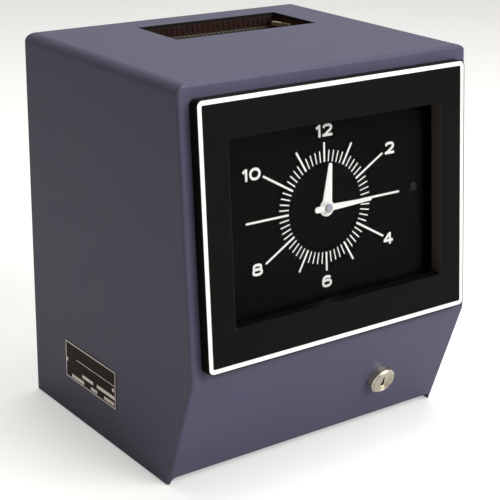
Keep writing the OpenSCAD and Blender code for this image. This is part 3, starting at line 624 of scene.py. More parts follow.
def finish_piece(
    piece: bpy.types.Object, name: str, finish: Finish, body: Body = Body.CHASSIS, smooth: float = 0.0
) -> None:
    """Name a piece, dress it and let it ride on its body.

    Args:
        piece: The finished mesh object.
        name: The piece's name.
        finish: The finish to show.
        body: The CAD body that carries it.
        smooth: The angle in degrees below which faces are shaded smoothly.
    """
    piece.name = name
    piece.data.materials.clear()
    piece.data.materials.append(finish.material())
    if smooth:
        select(piece)
        bpy.ops.object.shade_smooth_by_angle(angle=math.radians(smooth))
    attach(piece, body.value)
    LOG.info("built %s on %s: %s", name, body.value, finish.name)


def close_mesh() -> None:
    """Merge doubles, turn the faces outwards and leave edit mode."""
    bpy.ops.mesh.select_all(action="SELECT")
    bpy.ops.mesh.remove_doubles(threshold=1e-6)
    bpy.ops.mesh.normals_make_consistent(inside=False)
    bpy.ops.object.mode_set(mode="OBJECT")


def slab(
    size: tuple[float, float, float], centre: tuple[float, float, float] = (0, 0, 0), bevel: float = 0.0,
    segments: int = 2,
) -> bpy.types.Object:
    """Model a flat slab with softened edges, lying on its own z = 0 plane.

    Args:
        size: Width, length and thickness in millimetres.
        centre: Middle of its lower face in millimetres.
        bevel: Width of the softened edges in millimetres.
        segments: Steps across a softened edge.

    Returns:
        The slab as a mesh object.
    """
    deselect()
    bpy.ops.mesh.primitive_plane_add(size=MM, location=Vector(centre) * MM)
    piece = current()
    bpy.ops.object.mode_set(mode="EDIT")
    bpy.ops.mesh.select_all(action="SELECT")
    bpy.ops.transform.resize(value=(size[0], size[1], 1), center_override=Vector(centre) * MM)
    bpy.ops.mesh.extrude_region_move(TRANSFORM_OT_translate={"value": (0, 0, size[2] * MM)})
    bpy.ops.mesh.select_all(action="SELECT")
    if bevel > 0:
        bpy.ops.mesh.bevel(offset=bevel * MM, segments=segments, affect="EDGES")
    close_mesh()
    bpy.ops.object.transform_apply(location=True, rotation=False, scale=False)
    return piece


def drum(radius: float, height: float, bevel: float = 0.0, sides: int = 48, bore: float = 0.0) -> bpy.types.Object:
    """Model a round disc or ring with softened rims, standing on its own z = 0 plane.

    Args:
        radius: Outer radius in millimetres.
        height: Height in millimetres.
        bevel: Width of the softened rims in millimetres.
        sides: Number of straight sides.
        bore: Radius of the hole in millimetres.

    Returns:
        The drum as a mesh object.
    """
    deselect()
    bpy.ops.mesh.primitive_circle_add(vertices=sides, radius=radius * MM, fill_type="NGON")
    piece = current()
    bpy.ops.object.mode_set(mode="EDIT")
    bpy.ops.mesh.select_all(action="SELECT")
    if bore > 0:
        bpy.ops.mesh.inset(thickness=(radius - bore) * MM)
        bpy.ops.mesh.delete(type="FACE")
        bpy.ops.mesh.select_all(action="SELECT")
    bpy.ops.mesh.extrude_region_move(TRANSFORM_OT_translate={"value": (0, 0, height * MM)})
    close_mesh()
    if bevel > 0:
        rims = piece.modifiers.new("rims", "BEVEL")
        rims.width = bevel * MM
        rims.segments = 2
        rims.limit_method = "ANGLE"
        bpy.ops.object.modifier_apply(modifier="rims")
    return piece


def pan_head(radius: float, height: float, slot: float = 0.0) -> bpy.types.Object:
    """Model a slotted screw head, seated on its own z = 0 plane.

    Args:
        radius: Radius of the head in millimetres.
        height: Height of the head in millimetres.
        slot: Direction of the slot in degrees.

    Returns:
        The head as a mesh object.
    """
    head = drum(radius, height, height * 0.3, 24)
    groove = slab((radius * 2.4, radius * 0.3, height), (0, 0, height * 0.55))
    groove.data.transform(turned(slot))
    select(head)
    cut = head.modifiers.new("slot", "BOOLEAN")
    cut.operation = "DIFFERENCE"
    cut.object = groove
    bpy.ops.object.modifier_apply(modifier="slot")
    bpy.data.objects.remove(groove)
    return head


def sweep(
    runs: list[tuple[Run, list[tuple[float, float, float]]]], radius: float, steps: int = 10
) -> bpy.types.Object:
    """Sweep a round section along runs of points, and make the result a mesh.

    Args:
        runs: Each run's kind and its points in millimetres.
        radius: Radius of the section in millimetres.
        steps: Straight steps between two points.

    Returns:
        The mesh object.
    """
    curve = bpy.data.curves.new("sweep", "CURVE")
    curve.dimensions = "3D"
    curve.bevel_depth = radius * MM
    curve.bevel_resolution = 3
    curve.resolution_u = steps
    curve.use_fill_caps = True
    for kind, points in runs:
        line = curve.splines.new("BEZIER")
        line.use_cyclic_u = kind is Run.LOOP
        line.bezier_points.add(len(points) - 1)
        for knot, point in zip(line.bezier_points, points):
            knot.co = Vector(point) * MM
            knot.handle_left_type = knot.handle_right_type = "VECTOR" if kind is Run.BAR else "AUTO"
    made = bpy.data.objects.new("sweep", curve)
    bpy.context.collection.objects.link(made)
    select(made)
    bpy.ops.object.convert(target="MESH")
    return current()


def join(pieces: list[bpy.types.Object]) -> bpy.types.Object:
    """Join pieces into the first one.

    Args:
        pieces: The mesh objects, at least one.

    Returns:
        The joined object.
    """
    select(*pieces)
    if len(pieces) > 1:
        bpy.ops.object.join()
    return current()


def copy_moved(piece: bpy.types.Object, move: Matrix) -> bpy.types.Object:
    """Copy a piece with its own mesh and move the copy.

    Args:
        piece: The piece to repeat.
        move: The copy's change of place, in metres.

    Returns:
        The copy.
    """
    again = piece.copy()
    again.data = piece.data.copy()
    again.data.transform(move)
    bpy.context.collection.objects.link(again)
    return again


def repeat(piece: bpy.types.Object, moves: list[Matrix]) -> bpy.types.Object:
    """Join a piece with moved copies of itself.

    Args:
        piece: The piece to repeat.
        moves: Each copy's change of place, in metres.

    Returns:
        The joined object.
    """
    return join([piece] + [copy_moved(piece, move) for move in moves])


def turned(degrees: float) -> Matrix:
    """Give a turn about z, counter-clockwise in degrees."""
    return Matrix.Rotation(math.radians(degrees), 4, "Z")


def at(x: float, y: float, z: float) -> Matrix:
    """Give a move to a place in millimetres."""
    return Matrix.Translation(Vector((x, y, z)) * MM)


def facing(out: tuple[float, float, float], spot: tuple[float, float, float]) -> Matrix:
    """Give the place of a piece that was modelled on z = 0 and faces another way.

    Args:
        out: Where the piece's own z points.
        spot: Where its origin goes, in millimetres.

    Returns:
        The matrix in metres.
    """
    return at(*spot) @ Vector(out).to_track_quat("Z", "Y").to_matrix().to_4x4()


@dataclass(frozen=True)
class Glyph:
    """A numeral drawn with a round pen, about its own middle.

    Places are shares of half the pen's travel, so that -1 and 1 are the outermost places of the
    pen's middle. A loop is (x, y, half width, half height), and a run is a list of points.
    """

    width: float
    loops: tuple[tuple[float, float, float, float], ...] = ()
    bends: tuple[tuple[tuple[float, float], ...], ...] = ()
    bars: tuple[tuple[tuple[float, float], ...], ...] = ()


GLYPHS = {
    "0": Glyph(9.8, loops=((0, 0, 1.08, 1),)),
    "1": Glyph(4.9, bars=(((0.4, -1.26), (0.4, 1.26)), ((-0.4, 0.5), (0.3, 0.98)))),
    "2": Glyph(
        9.2,
        bends=(
            ((-0.98, 0.5), (-0.72, 0.88), (0, 1), (0.74, 0.86), (0.98, 0.46), (0.7, 0.02), (0.1, -0.4), (-0.8, -1)),
        ),
        bars=(((-1.22, -1), (1.24, -1)),),
    ),
    "4": Glyph(
        9.2, bars=(((0.3, 1), (-1.05, -0.42)), ((-1.24, -0.46), (1.24, -0.46)), ((0.45, 1.26), (0.45, -1.26))),
    ),
    "6": Glyph(
        9.2, loops=((0, -0.38, 1, 0.62),),
        bends=(((-1, -0.38), (-0.97, 0.2), (-0.66, 0.78), (0.1, 1), (0.92, 0.72)),),
    ),
    "8": Glyph(9.2, loops=((0, 0.52, 0.86, 0.48), (0, -0.45, 1, 0.55))),
}


@dataclass
class DialFace:
    """The black dial with its printed marks, and the hands before it."""

    plane: DialPlane = field(default_factory=DialPlane)
    front: float = -10.4
    print_thick: float = 0.08
    tick_inner: float = 33.0
    tick_outer: float = 41.3
    minute_width: float = 0.95
    hour_width: float = 1.55
    pen: float = 1.95
    pen_travel: tuple[float, float] = (3.6, 3.5)
    figure_gap: float = 1.5
    hour_reach: tuple[float, ...] = (47, 50, 62.5, 70, 62.5, 50, 47, 50, 62.5, 70, 62.5, 50)
    figures: tuple[tuple[str, float, float], ...] = (
        ("12", 0, 55.5), ("2", 61, 34), ("4", 59, -34), ("6", 0, -55), ("8", -61.5, -34), ("10", -64, 34),
    )
    screw_place: tuple[float, float] = (83.7, 1.5)
    screw_radius: float = 3.2
    screw_height: float = 1.0

    def build(self) -> None:
        """Print the dial and dress the plate and the hands."""
        dress(DIAL_BLACK, "dial_plate")
        dress(HAND_WHITE, "minute_hand", "hour_hand")
        dress(DULL_ZINC, "hand_cap")
        self.print_minutes()
        self.print_hours()
        self.print_figures()
        self.screw_dial()

    def ray(self, width: float, inner: float, outer: float, angle: float) -> bpy.types.Object:
        """Model one printed ray.

        Args:
            width: Its width.
            inner: Where it starts, from the centre.
            outer: Where it ends.
            angle: Clockwise from twelve, in degrees.

        Returns:
            The ray in the dial's own axes.
        """
        made = slab((width, outer - inner, self.print_thick), (0, (inner + outer) / 2, 0), 0.02)
        return settle(made, turned(-angle))

    def print_minutes(self) -> None:
        """Print the minute rays between the hours, one modelled and the others copied."""
        first = self.ray(self.minute_width, self.tick_inner, self.tick_outer, 6)
        rays = repeat(first, [turned(-6 * (minute - 1)) for minute in range(2, 60) if minute % 5])
        finish_piece(settle(rays, self.plane.matrix(self.front)), "minute_rays", WHITE_INK)

    def print_hours(self) -> None:
        """Print the hour rays, which reach out to a square with cut corners."""
        rays = [
            self.ray(self.hour_width, self.tick_inner, far, 30 * hour) for hour, far in enumerate(self.hour_reach)
        ]
        piece = settle(join(rays), self.plane.matrix(self.front))
        finish_piece(piece, "hour_rays", WHITE_INK)

    def draw(self, glyph: Glyph, x: float, u: float) -> bpy.types.Object:
        """Draw one numeral with the pen and press it flat.

        Args:
            glyph: The numeral's strokes.
            x: Its middle, across the dial.
            u: Its middle, up the dial.

        Returns:
            The numeral as a mesh in the dial's own axes.
        """
        wide, tall = self.pen_travel
        runs = [(Run.LOOP, [(a + w, b), (a, b + h), (a - w, b), (a, b - h)]) for a, b, w, h in glyph.loops]
        runs += [(Run.BEND, bend) for bend in glyph.bends] + [(Run.BAR, bar) for bar in glyph.bars]
        scaled = [(kind, [(a * wide, b * tall, 0) for a, b in points]) for kind, points in runs]
        flat = Matrix.Diagonal((1, 1, self.print_thick / self.pen, 1))
        return settle(sweep(scaled, self.pen / 2), at(x, u, 0) @ flat)

    def print_figures(self) -> None:
        """Print the six hour figures, whose strokes are as wide as the pen."""
        made = []
        for figure, x, u in self.figures:
            glyphs = [GLYPHS[digit] for digit in figure]
            start = x - (sum(g.width for g in glyphs) + self.figure_gap * (len(glyphs) - 1)) / 2
            for glyph in glyphs:
                made.append(self.draw(glyph, start + glyph.width / 2, u))
                start += glyph.width + self.figure_gap
        piece = settle(join(made), self.plane.matrix(self.front + self.print_thick / 2))
        finish_piece(piece, "hour_figures", WHITE_INK, smooth=40)

    def screw_dial(self) -> None:
        """Set the small screw beside the ray of the three."""
        head = pan_head(self.screw_radius, self.screw_height, slot=40)
        settle(head, self.plane.matrix(self.front) @ at(*self.screw_place, 0))
        finish_piece(head, "dial_screw", BLACK_OXIDE, smooth=30)


@dataclass
class DialFrame:
    """The black frame round the dial, its inlaid line and the clear sheet."""

    def build(self) -> None:
        """Dress the frame."""
        dress(FRAME_BLACK, "bezel")
        dress(WHITE_INK, "bezel_trim")
        dress(ACRYLIC, "crystal")
        dress(MOULDED_BLACK, "crystal_clips")
        dress(ZINC, "bezel_screws")


@dataclass
class Hood:
    """The sheet-metal cover and its hinge brackets."""

    def build(self) -> None:
        """Dress the cover."""
        dress(ENAMEL, "housing_cover")
        dress(ZINC, "hinge_studs")


@dataclass
class KeyLock:
    """The cam lock in the chin."""

    middle: tuple[float, float, float] = (57.0, -92.43, 43.0)
    lean: float = 18.8119
    head_length: float = 6.0
    rim_radius: float = 9.6
    rim_bore: float = 8.2
    rim_height: float = 0.5

    def build(self) -> None:
        """Dress the lock and give its head a raised rim."""
        dress(NICKEL, "lock_barrel", "lock_plug")
        dress(ZINC, "lock_nut", "lock_cam")
        out = Vector((0, -math.cos(math.radians(self.lean)), -math.sin(math.radians(self.lean))))
        spot = Vector(self.middle) + out * self.head_length
        rim = drum(self.rim_radius, self.rim_height, bevel=0.2, sides=64, bore=self.rim_bore)
        settle(rim, facing(tuple(out), tuple(spot)))
        finish_piece(rim, "lock_rim", NICKEL, Body.COVER, smooth=40)


@dataclass
class RatingPlate:
    """The etched plate on the left side wall, with its border, rule and blank fields.

    A box is (rear end, front end) as shares of the length, and (top, foot) as shares of the height.
    """

    face_x: float = -127.5
    rear_y: float = BACK_Y - 50.0
    low: float = 32.0
    length: float = 74.5
    height: float = 30.0
    thick: float = 0.08
    line: float = 0.8
    rule_start: float = 0.22
    rule_down: float = 0.375
    boxes: tuple[tuple[float, float, float, float], ...] = (
        (0.12, 0.37, 0.85, 0.945), (0.335, 0.555, 0.68, 0.77), (0.63, 0.985, 0.67, 0.765),
        (0.51, 0.635, 0.85, 0.94), (0.775, 0.97, 0.845, 0.935),
    )

    def strip(self, along: tuple[float, float], down: tuple[float, float]) -> bpy.types.Object:
        """Model one bare area of the plate.

        Args:
            along: Its ends from the rear, as shares of the length.
            down: Its edges from the top, as shares of the height.

        Returns:
            The strip in the plate's own axes: x towards the front and y up, from the rear top corner.
        """
        size = ((along[1] - along[0]) * self.length, (down[1] - down[0]) * self.height, self.thick)
        middle = ((along[0] + along[1]) / 2 * self.length, -(down[0] + down[1]) / 2 * self.height, 0)
        return slab(size, middle, 0.02)

    def build(self) -> None:
        """Etch the border, the middle line and the blank boxes."""
        dress(PLATE_BLACK, "rating_plate")
        dress(BARE_ALUMINIUM, "plate_rivets")
        across, tall = self.line / self.length, self.line / self.height
        rule = (self.rule_down, self.rule_down + tall * 0.6)
        edge = [
            self.strip((0, 1), (0, tall)), self.strip((0, 1), (1 - tall, 1)),
            self.strip((0, across), (tall, 1 - tall)), self.strip((1 - across, 1), (tall, 1 - tall)),
            self.strip((self.rule_start, 1 - across), rule),
        ]
        boxes = [self.strip((b[0], b[1]), (b[2], b[3])) for b in self.boxes]
        turn = Matrix(((0, 0, -1), (-1, 0, 0), (0, 1, 0))).to_4x4()
        place = at(self.face_x, self.rear_y, self.low + self.height) @ turn
        finish_piece(settle(join(edge), place), "plate_lines", BARE_ALUMINIUM, Body.COVER)
        finish_piece(settle(join(boxes), place), "plate_boxes", BARE_ALUMINIUM, Body.COVER)


@dataclass
class CardThroat:
    """The liner below the top opening and the card channel."""

    left: float = -46.0
    right: float = 84.0
    rear_y: float = BACK_Y - 29.0
    front_y: float = BACK_Y - 84.0
    rib_low: float = 285.4
    rib_high: float = 290.6
    rib_pitch: float = 4.9
    rib_width: float = 2.1
    rib_depth: float = 0.7
    rib_margin: float = 2.6
    lip_middle: float = 281.0
    lip_height: float = 4.6
    lip_margin: float = 3.0
    # Painted shade: a dark strip in the gap between liner and cover stands in for the shadow there.
    shade_strip_low: float = 291.2
    shade_strip_height: float = 0.7
    shade_strip_width: float = 1.4
    spring_size: tuple[float, float, float] = (19.0, 3.6, 0.4)
    spring_bow: float = -28.0
    spring_place: tuple[float, float, float] = (81.8, 72.0, 286.4)

    def build(self) -> None:
        """Dress the card's way down and add its ribs, lip and side spring."""
        dress(THROAT_PAINT, "card_throat", "card_stop")
        dress(ROLLED_STEEL, "card_guide_rear", "card_guide_front", "card_guide_rails")
        self.rib_wall()
        self.knurled_lip()
        self.side_spring()
        self.lay_shade_strip()

    def rib_wall(self) -> None:
        """Set fine upright ribs on the rear wall, one modelled and the others copied."""
        first = slab((self.rib_width, self.rib_high - self.rib_low, self.rib_depth), bevel=0.3)
        middle = (self.rib_low + self.rib_high) / 2
        settle(first, facing((0, -1, 0), (self.left + self.rib_margin, self.rear_y, middle)))
        count = int((self.right - self.left - 2 * self.rib_margin) / self.rib_pitch)
        ribs = repeat(first, [at(self.rib_pitch * i, 0, 0) for i in range(1, count + 1)])
        finish_piece(ribs, "throat_ribs", THROAT_PAINT)

    def knurled_lip(self) -> None:
        """Lay the knurled strip that steadies a card, low on the rear wall."""
        lip = slab((self.right - self.left - 2 * self.lip_margin, self.lip_height, 1.0), bevel=0.4)
        settle(lip, facing((0, -1, 0), ((self.left + self.right) / 2, self.rear_y, self.lip_middle)))
        finish_piece(lip, "throat_lip", KNURL)

    def lay_shade_strip(self) -> None:
        """Lay a dark rubber strip in the gap between the liner and the cover: painted shade that stands in for the
        shadow in the gap.
        """
        edge, tall, low = self.shade_strip_width, self.shade_strip_height, self.shade_strip_low
        middle_x, middle_y = (self.left + self.right) / 2, (self.rear_y + self.front_y) / 2
        wide, deep = self.right - self.left + 2 * edge, self.rear_y - self.front_y
        sides = [
            slab((wide, edge, tall), (middle_x, y, low), 0.15)
            for y in (self.rear_y + edge / 2, self.front_y - edge / 2)
        ]
        sides += [
            slab((edge, deep, tall), (x, middle_y, low), 0.15) for x in (self.left - edge / 2, self.right + edge / 2)
        ]
        # Painted shade: the strip's dark rubber stands in for the shadow in the gap.
        finish_piece(join(sides), "throat_shade_strip", RUBBER)

    def side_spring(self) -> None:
        """Bend the bright spring leaf that presses a card from the right."""
        leaf = slab(self.spring_size, bevel=0.15)
        bpy.ops.object.mode_set(mode="EDIT")
        bpy.ops.mesh.select_all(action="SELECT")
        bpy.ops.mesh.subdivide(number_cuts=6)
        bpy.ops.object.mode_set(mode="OBJECT")
        bow = leaf.modifiers.new("bow", "SIMPLE_DEFORM")
        bow.deform_method = "BEND"
        bow.deform_axis = "Y"
        bow.angle = math.radians(self.spring_bow)
        select(leaf)
        bpy.ops.object.modifier_apply(modifier="bow")
        turn = Matrix(((0, 0, -1), (1, 0, 0), (0, -1, 0))).to_4x4()
        settle(leaf, at(*self.spring_place) @ turn)
        finish_piece(leaf, "throat_spring", NICKEL, smooth=30)


@dataclass
class Chassis:
    """The base, the back, the transformer and what the case stands on."""

    core: tuple[float, float, float] = (-87.0, BACK_Y - 46.0, 52.0)
    coil_size: tuple[float, float, float] = (30.8, 26.8, 52.8)
    coil_height: float = 30.0
    strap_width: float = 6.0
    strap_thick: float = 0.8
    strap_offset: float = 9.0
    core_half: float = 25.0
    leg_length: float = 43.6
    leg_middle: float = 30.6
    foot_length: float = 7.0
    foot_away: float = 29.0
    foot_height: float = 8.0
    strip_size: tuple[float, float, float] = (36.0, 7.0, 3.0)
    terminal_pitch: float = 9.0

    def build(self) -> None:
        """Dress the chassis and finish the transformer."""
        dress(ROLLED_STEEL, "base_plate", "back_plate", "lock_strike", "frame_plate_left", "frame_plate_right")
        dress(ZINC, "case_screws", "frame_screws", "frame_pillars")
        dress(RUBBER, "rubber_feet", "cord_grommet")
        dress(LAMINATIONS, "transformer")
        self.wind_transformer()
        self.clamp_transformer()
        self.slot_screws()

    def wind_transformer(self) -> None:
        """Wrap the transformer's coil, which stands out of the core at both ends."""
        coil = slab(self.coil_size, bevel=4.0, segments=4)
        settle(coil, facing((0, 1, 0), (self.core[0], self.core[1] - self.coil_size[2] / 2, self.coil_height)))
        finish_piece(coil, "transformer_coil", PAPER_TAPE, smooth=40)

    def clamp_transformer(self) -> None:
        """Clamp the core with two straps, and set the terminal strip on top."""
        x, y, top = self.core
        wide, thick, half = self.strap_width, self.strap_thick, self.core_half
        straps = []
        for side in (-self.strap_offset, self.strap_offset):
            over = slab((2 * (half + thick), wide, thick), bevel=0.25)
            straps.append(settle(over, at(x, y + side, top)))
            for edge in (-1, 1):
                leg = slab((wide, self.leg_length, thick), bevel=0.25)
                straps.append(settle(leg, facing((edge, 0, 0), (x + edge * half, y + side, self.leg_middle))))
                foot = slab((self.foot_length, wide, thick), bevel=0.25)
                straps.append(settle(foot, at(x + edge * self.foot_away, y + side, self.foot_height)))
        finish_piece(join(straps), "transformer_straps", ZINC)
        strip = settle(slab(self.strip_size, bevel=0.6), at(x, y, top + thick))
        finish_piece(strip, "terminal_strip", PHENOLIC)
        strip_top = top + thick + self.strip_size[2]
        head = settle(pan_head(1.8, 1.4, slot=30), at(x - 1.5 * self.terminal_pitch, y, strip_top))
        heads = repeat(head, [at(self.terminal_pitch * i, 0, 0) for i in range(1, 4)])
        finish_piece(heads, "terminal_screws", BRASS, smooth=30)

    def slot_screws(self) -> None:
        """Set slotted heads on the feet of the straps."""
        across, deep = 60.0, 2 * self.strap_offset
        low = self.foot_height + self.strap_thick
        head = settle(pan_head(2.6, 1.6, slot=20), at(self.core[0] - across / 2, self.core[1] - deep / 2, low))
        heads = repeat(head, [at(across, 0, 0), at(0, deep, 0), at(across, deep, 0)])
        finish_piece(heads, "strap_screws", ZINC, smooth=30)


@dataclass
class Movement:
    """The dial's movement with its motor."""

    plane: DialPlane = field(default_factory=DialPlane)
    motor_u: float = -25.2
    motor_rear: float = -65.0
    plate_rear: float = -41.0
    pillars_apart: tuple[float, float] = (64.0, 68.0)
    pillars_low: float = -36.0

    def build(self) -> None:
        """Dress the movement and finish its motor's rear end."""
        dress(BRASS, "movement_back_plate", "movement_front_plate", "dial_posts", "centre_arbor", "minute_wheel")
        dress(BRASS, "hour_wheel", "dial_pinion")
        dress(HAMMER_GREY, "dial_motor")
        self.cap_motor()
        self.screw_plates()

    def cap_motor(self) -> None:
        """Step the motor's rear end and give it a boss."""
        rear = self.plane.matrix(self.motor_rear) @ at(0, self.motor_u, 0) @ Matrix.Rotation(math.pi, 4, "Y")
        cap = settle(drum(17.5, 1.6, bevel=0.6, sides=48, bore=9.0), rear)
        boss = settle(drum(5.0, 2.6, bevel=0.6, sides=32), rear)
        finish_piece(join([cap, boss]), "dial_motor_cap", ZINC, smooth=40)

    def screw_plates(self) -> None:
        """Set slotted heads behind the movement's four pillars."""
        rear = self.plane.matrix(self.plate_rear) @ Matrix.Rotation(math.pi, 4, "Y")
        across, up = self.pillars_apart
        head = settle(pan_head(2.6, 1.4, slot=35), at(across / 2, self.pillars_low, 0))
        heads = repeat(head, [at(-across, 0, 0), at(0, up, 0), at(-across, up, 0)])
        finish_piece(settle(heads, rear), "movement_screws", ZINC, smooth=30)


@dataclass
class Printer:
    """The type wheels, hammer, ribbon and main motor."""

    motor_middle: tuple[float, float, float] = (-74.0, BACK_Y - 70.9, 160.0)
    motor_radius: float = 25.0
    bell_height: float = 2.4
    bolt_place: float = 13.0
    band_width: float = 3.0
    band_proud: float = 0.5
    bands_apart: float = 22.0
    coil_radius: float = 11.6
    coil_length: float = 34.0
    coil_rear: tuple[float, float, float] = (19.0, BACK_Y - 43.0, 60.0)

    def build(self) -> None:
        """Dress the printing unit, wind the solenoid and finish the motor."""
        dress(BLACK_OXIDE, "solenoid")
        dress(HAMMER_GREY, "main_motor")
        dress(ZINC, "motor_standoffs")
        dress(TURNED_STEEL, "type_shaft", "hammer_shaft", "solenoid_plunger")
        dress(BRASS, "motor_pinion", "drive_wheel")
        dress(BRASS, "minute_type_wheel", "hour_type_wheel", "date_type_wheel", "month_type_wheel")
        dress(ROLLED_STEEL, "hammer", "trigger_lever")
        dress(RUBBER, "hammer_pad")
        dress(RIBBON_CLOTH, "ink_ribbon")
        dress(SPOOL, "upper_spool", "lower_spool")
        dress(PHENOLIC, "trigger_switch")
        self.wind_solenoid()
        self.close_motor()

    def wind_solenoid(self) -> None:
        """Wind the solenoid's coil between the cheeks of its yoke."""
        coil = settle(drum(self.coil_radius, self.coil_length, bevel=0.8), facing((0, -1, 0), self.coil_rear))
        finish_piece(coil, "solenoid_coil", COPPER_WINDING, smooth=40)

    def close_motor(self) -> None:
        """Close the main motor with an end bell, its bearing boss, two bands and four through bolts."""
        left = facing((-1, 0, 0), self.motor_middle)
        bell = settle(drum(22.5, self.bell_height, bevel=1.0, sides=64, bore=7.5), left)
        boss = settle(drum(6.5, 4.4, bevel=0.8, sides=40), left)
        finish_piece(join([bell, boss]), "motor_end_bell", HAMMER_GREY, smooth=40)
        outer, inner = self.motor_radius + self.band_proud, self.motor_radius - self.band_proud
        band = drum(outer, self.band_width, bevel=0.4, sides=96, bore=inner)
        x, y, z = self.motor_middle
        settle(band, facing((1, 0, 0), (x + self.band_width, y, z)))
        finish_piece(repeat(band, [at(self.bands_apart, 0, 0)]), "motor_bands", ZINC, smooth=40)
        head = settle(pan_head(2.0, 1.4, slot=45), at(self.bolt_place, self.bolt_place, self.bell_height))
        heads = repeat(head, [turned(90 * i) for i in range(1, 4)])
        finish_piece(settle(heads, left), "motor_bolts", ZINC, smooth=30)


@dataclass
class Wiring:
    """The fixed wires from the transformer's terminals to the motors, the solenoid and the switch."""

    radius: float = 1.1
    lug_height: float = 55.9
    tie_half: tuple[float, float] = (2.6, 2.4)
    tie_step: tuple[float, float, float] = (-7.6, 2.4, 0.0)
    tie_place: tuple[float, float, float] = (-29.5, -20.8, 11.0)
    dial_motor: tuple[tuple[float, float, float], ...] = (
        (-91.5, 70.2, 56.6), (-91.5, 62, 62), (-84, 42, 66), (-60, 26, 74), (-40, 4, 88), (-36.5, -18, 100),
        (-28, -32, 112), (-10, -44, 126), (0, -48.6, 140.5),
    )
    main_motor: tuple[tuple[float, float, float], ...] = (
        (-100.5, 70.2, 56.6), (-100.5, 66, 64), (-98, 60, 84), (-92, 56, 112), (-86, 55, 136), (-76.2, 56, 151),
    )
    solenoid: tuple[tuple[float, float, float], ...] = (
        (-82.5, 70.2, 56.6), (-82, 58, 60), (-76, 38, 44), (-58, 30, 16), (-46, 4, 10), (-37, -17, 9.6),
        (-22, -20, 9.6), (-6, -8, 12), (4, 14, 34), (9.5, 28, 52), (12, 36.6, 55),
    )
    switch: tuple[tuple[float, float, float], ...] = (
        (-73.5, 70.2, 56.6), (-73, 58, 60), (-68, 36, 42), (-54, 27, 14), (-44, 4, 12.2), (-37, -19, 11.8),
        (-22, -22.4, 11.8), (-4, -12, 14), (10, 6, 46), (18, 14, 84), (19, 24.6, 106),
    )

    def build(self) -> None:
        """Lay the four wires, and tie the two that share a way."""
        self.wire("dial_motor_wire", self.dial_motor, YELLOW_WIRE)
        self.wire("main_motor_wire", self.main_motor, RED_WIRE)
        self.wire("solenoid_wire", self.solenoid, BLACK_WIRE)
        self.wire("switch_wire", self.switch, YELLOW_WIRE)
        self.tie()

    def wire(self, name: str, route: tuple[tuple[float, float, float], ...], finish: Finish) -> None:
        """Lay one wire with a crimped lug under its terminal screw.

        Args:
            name: The piece's name.
            route: The points of its way, in millimetres.
            finish: The colour of its sleeve.
        """
        finish_piece(sweep([(Run.BEND, list(route))], self.radius), name, finish, smooth=40)
        lug = slab((5.0, 6.4, 0.7), (0, -1.4, 0), 0.25)
        barrel = sweep([(Run.BAR, [(0, -4.2, 0.9), (0, -8.4, 3.4)])], radius=1.6, steps=2)
        place = at(route[0][0], route[0][1], self.lug_height)
        finish_piece(settle(join([lug, barrel]), place), name + "_lug", ZINC, smooth=40)

    def tie(self) -> None:
        """Bind the two lower wires where they turn round the frame."""
        deep, tall = self.tie_half
        band = sweep([(Run.LOOP, [(0, deep, 0), (0, 0, tall), (0, -deep, 0), (0, 0, -tall)])], radius=0.6)
        settle(band, at(*self.tie_place))
        finish_piece(repeat(band, [at(*self.tie_step)]), "wire_ties", RUBBER, smooth=40)


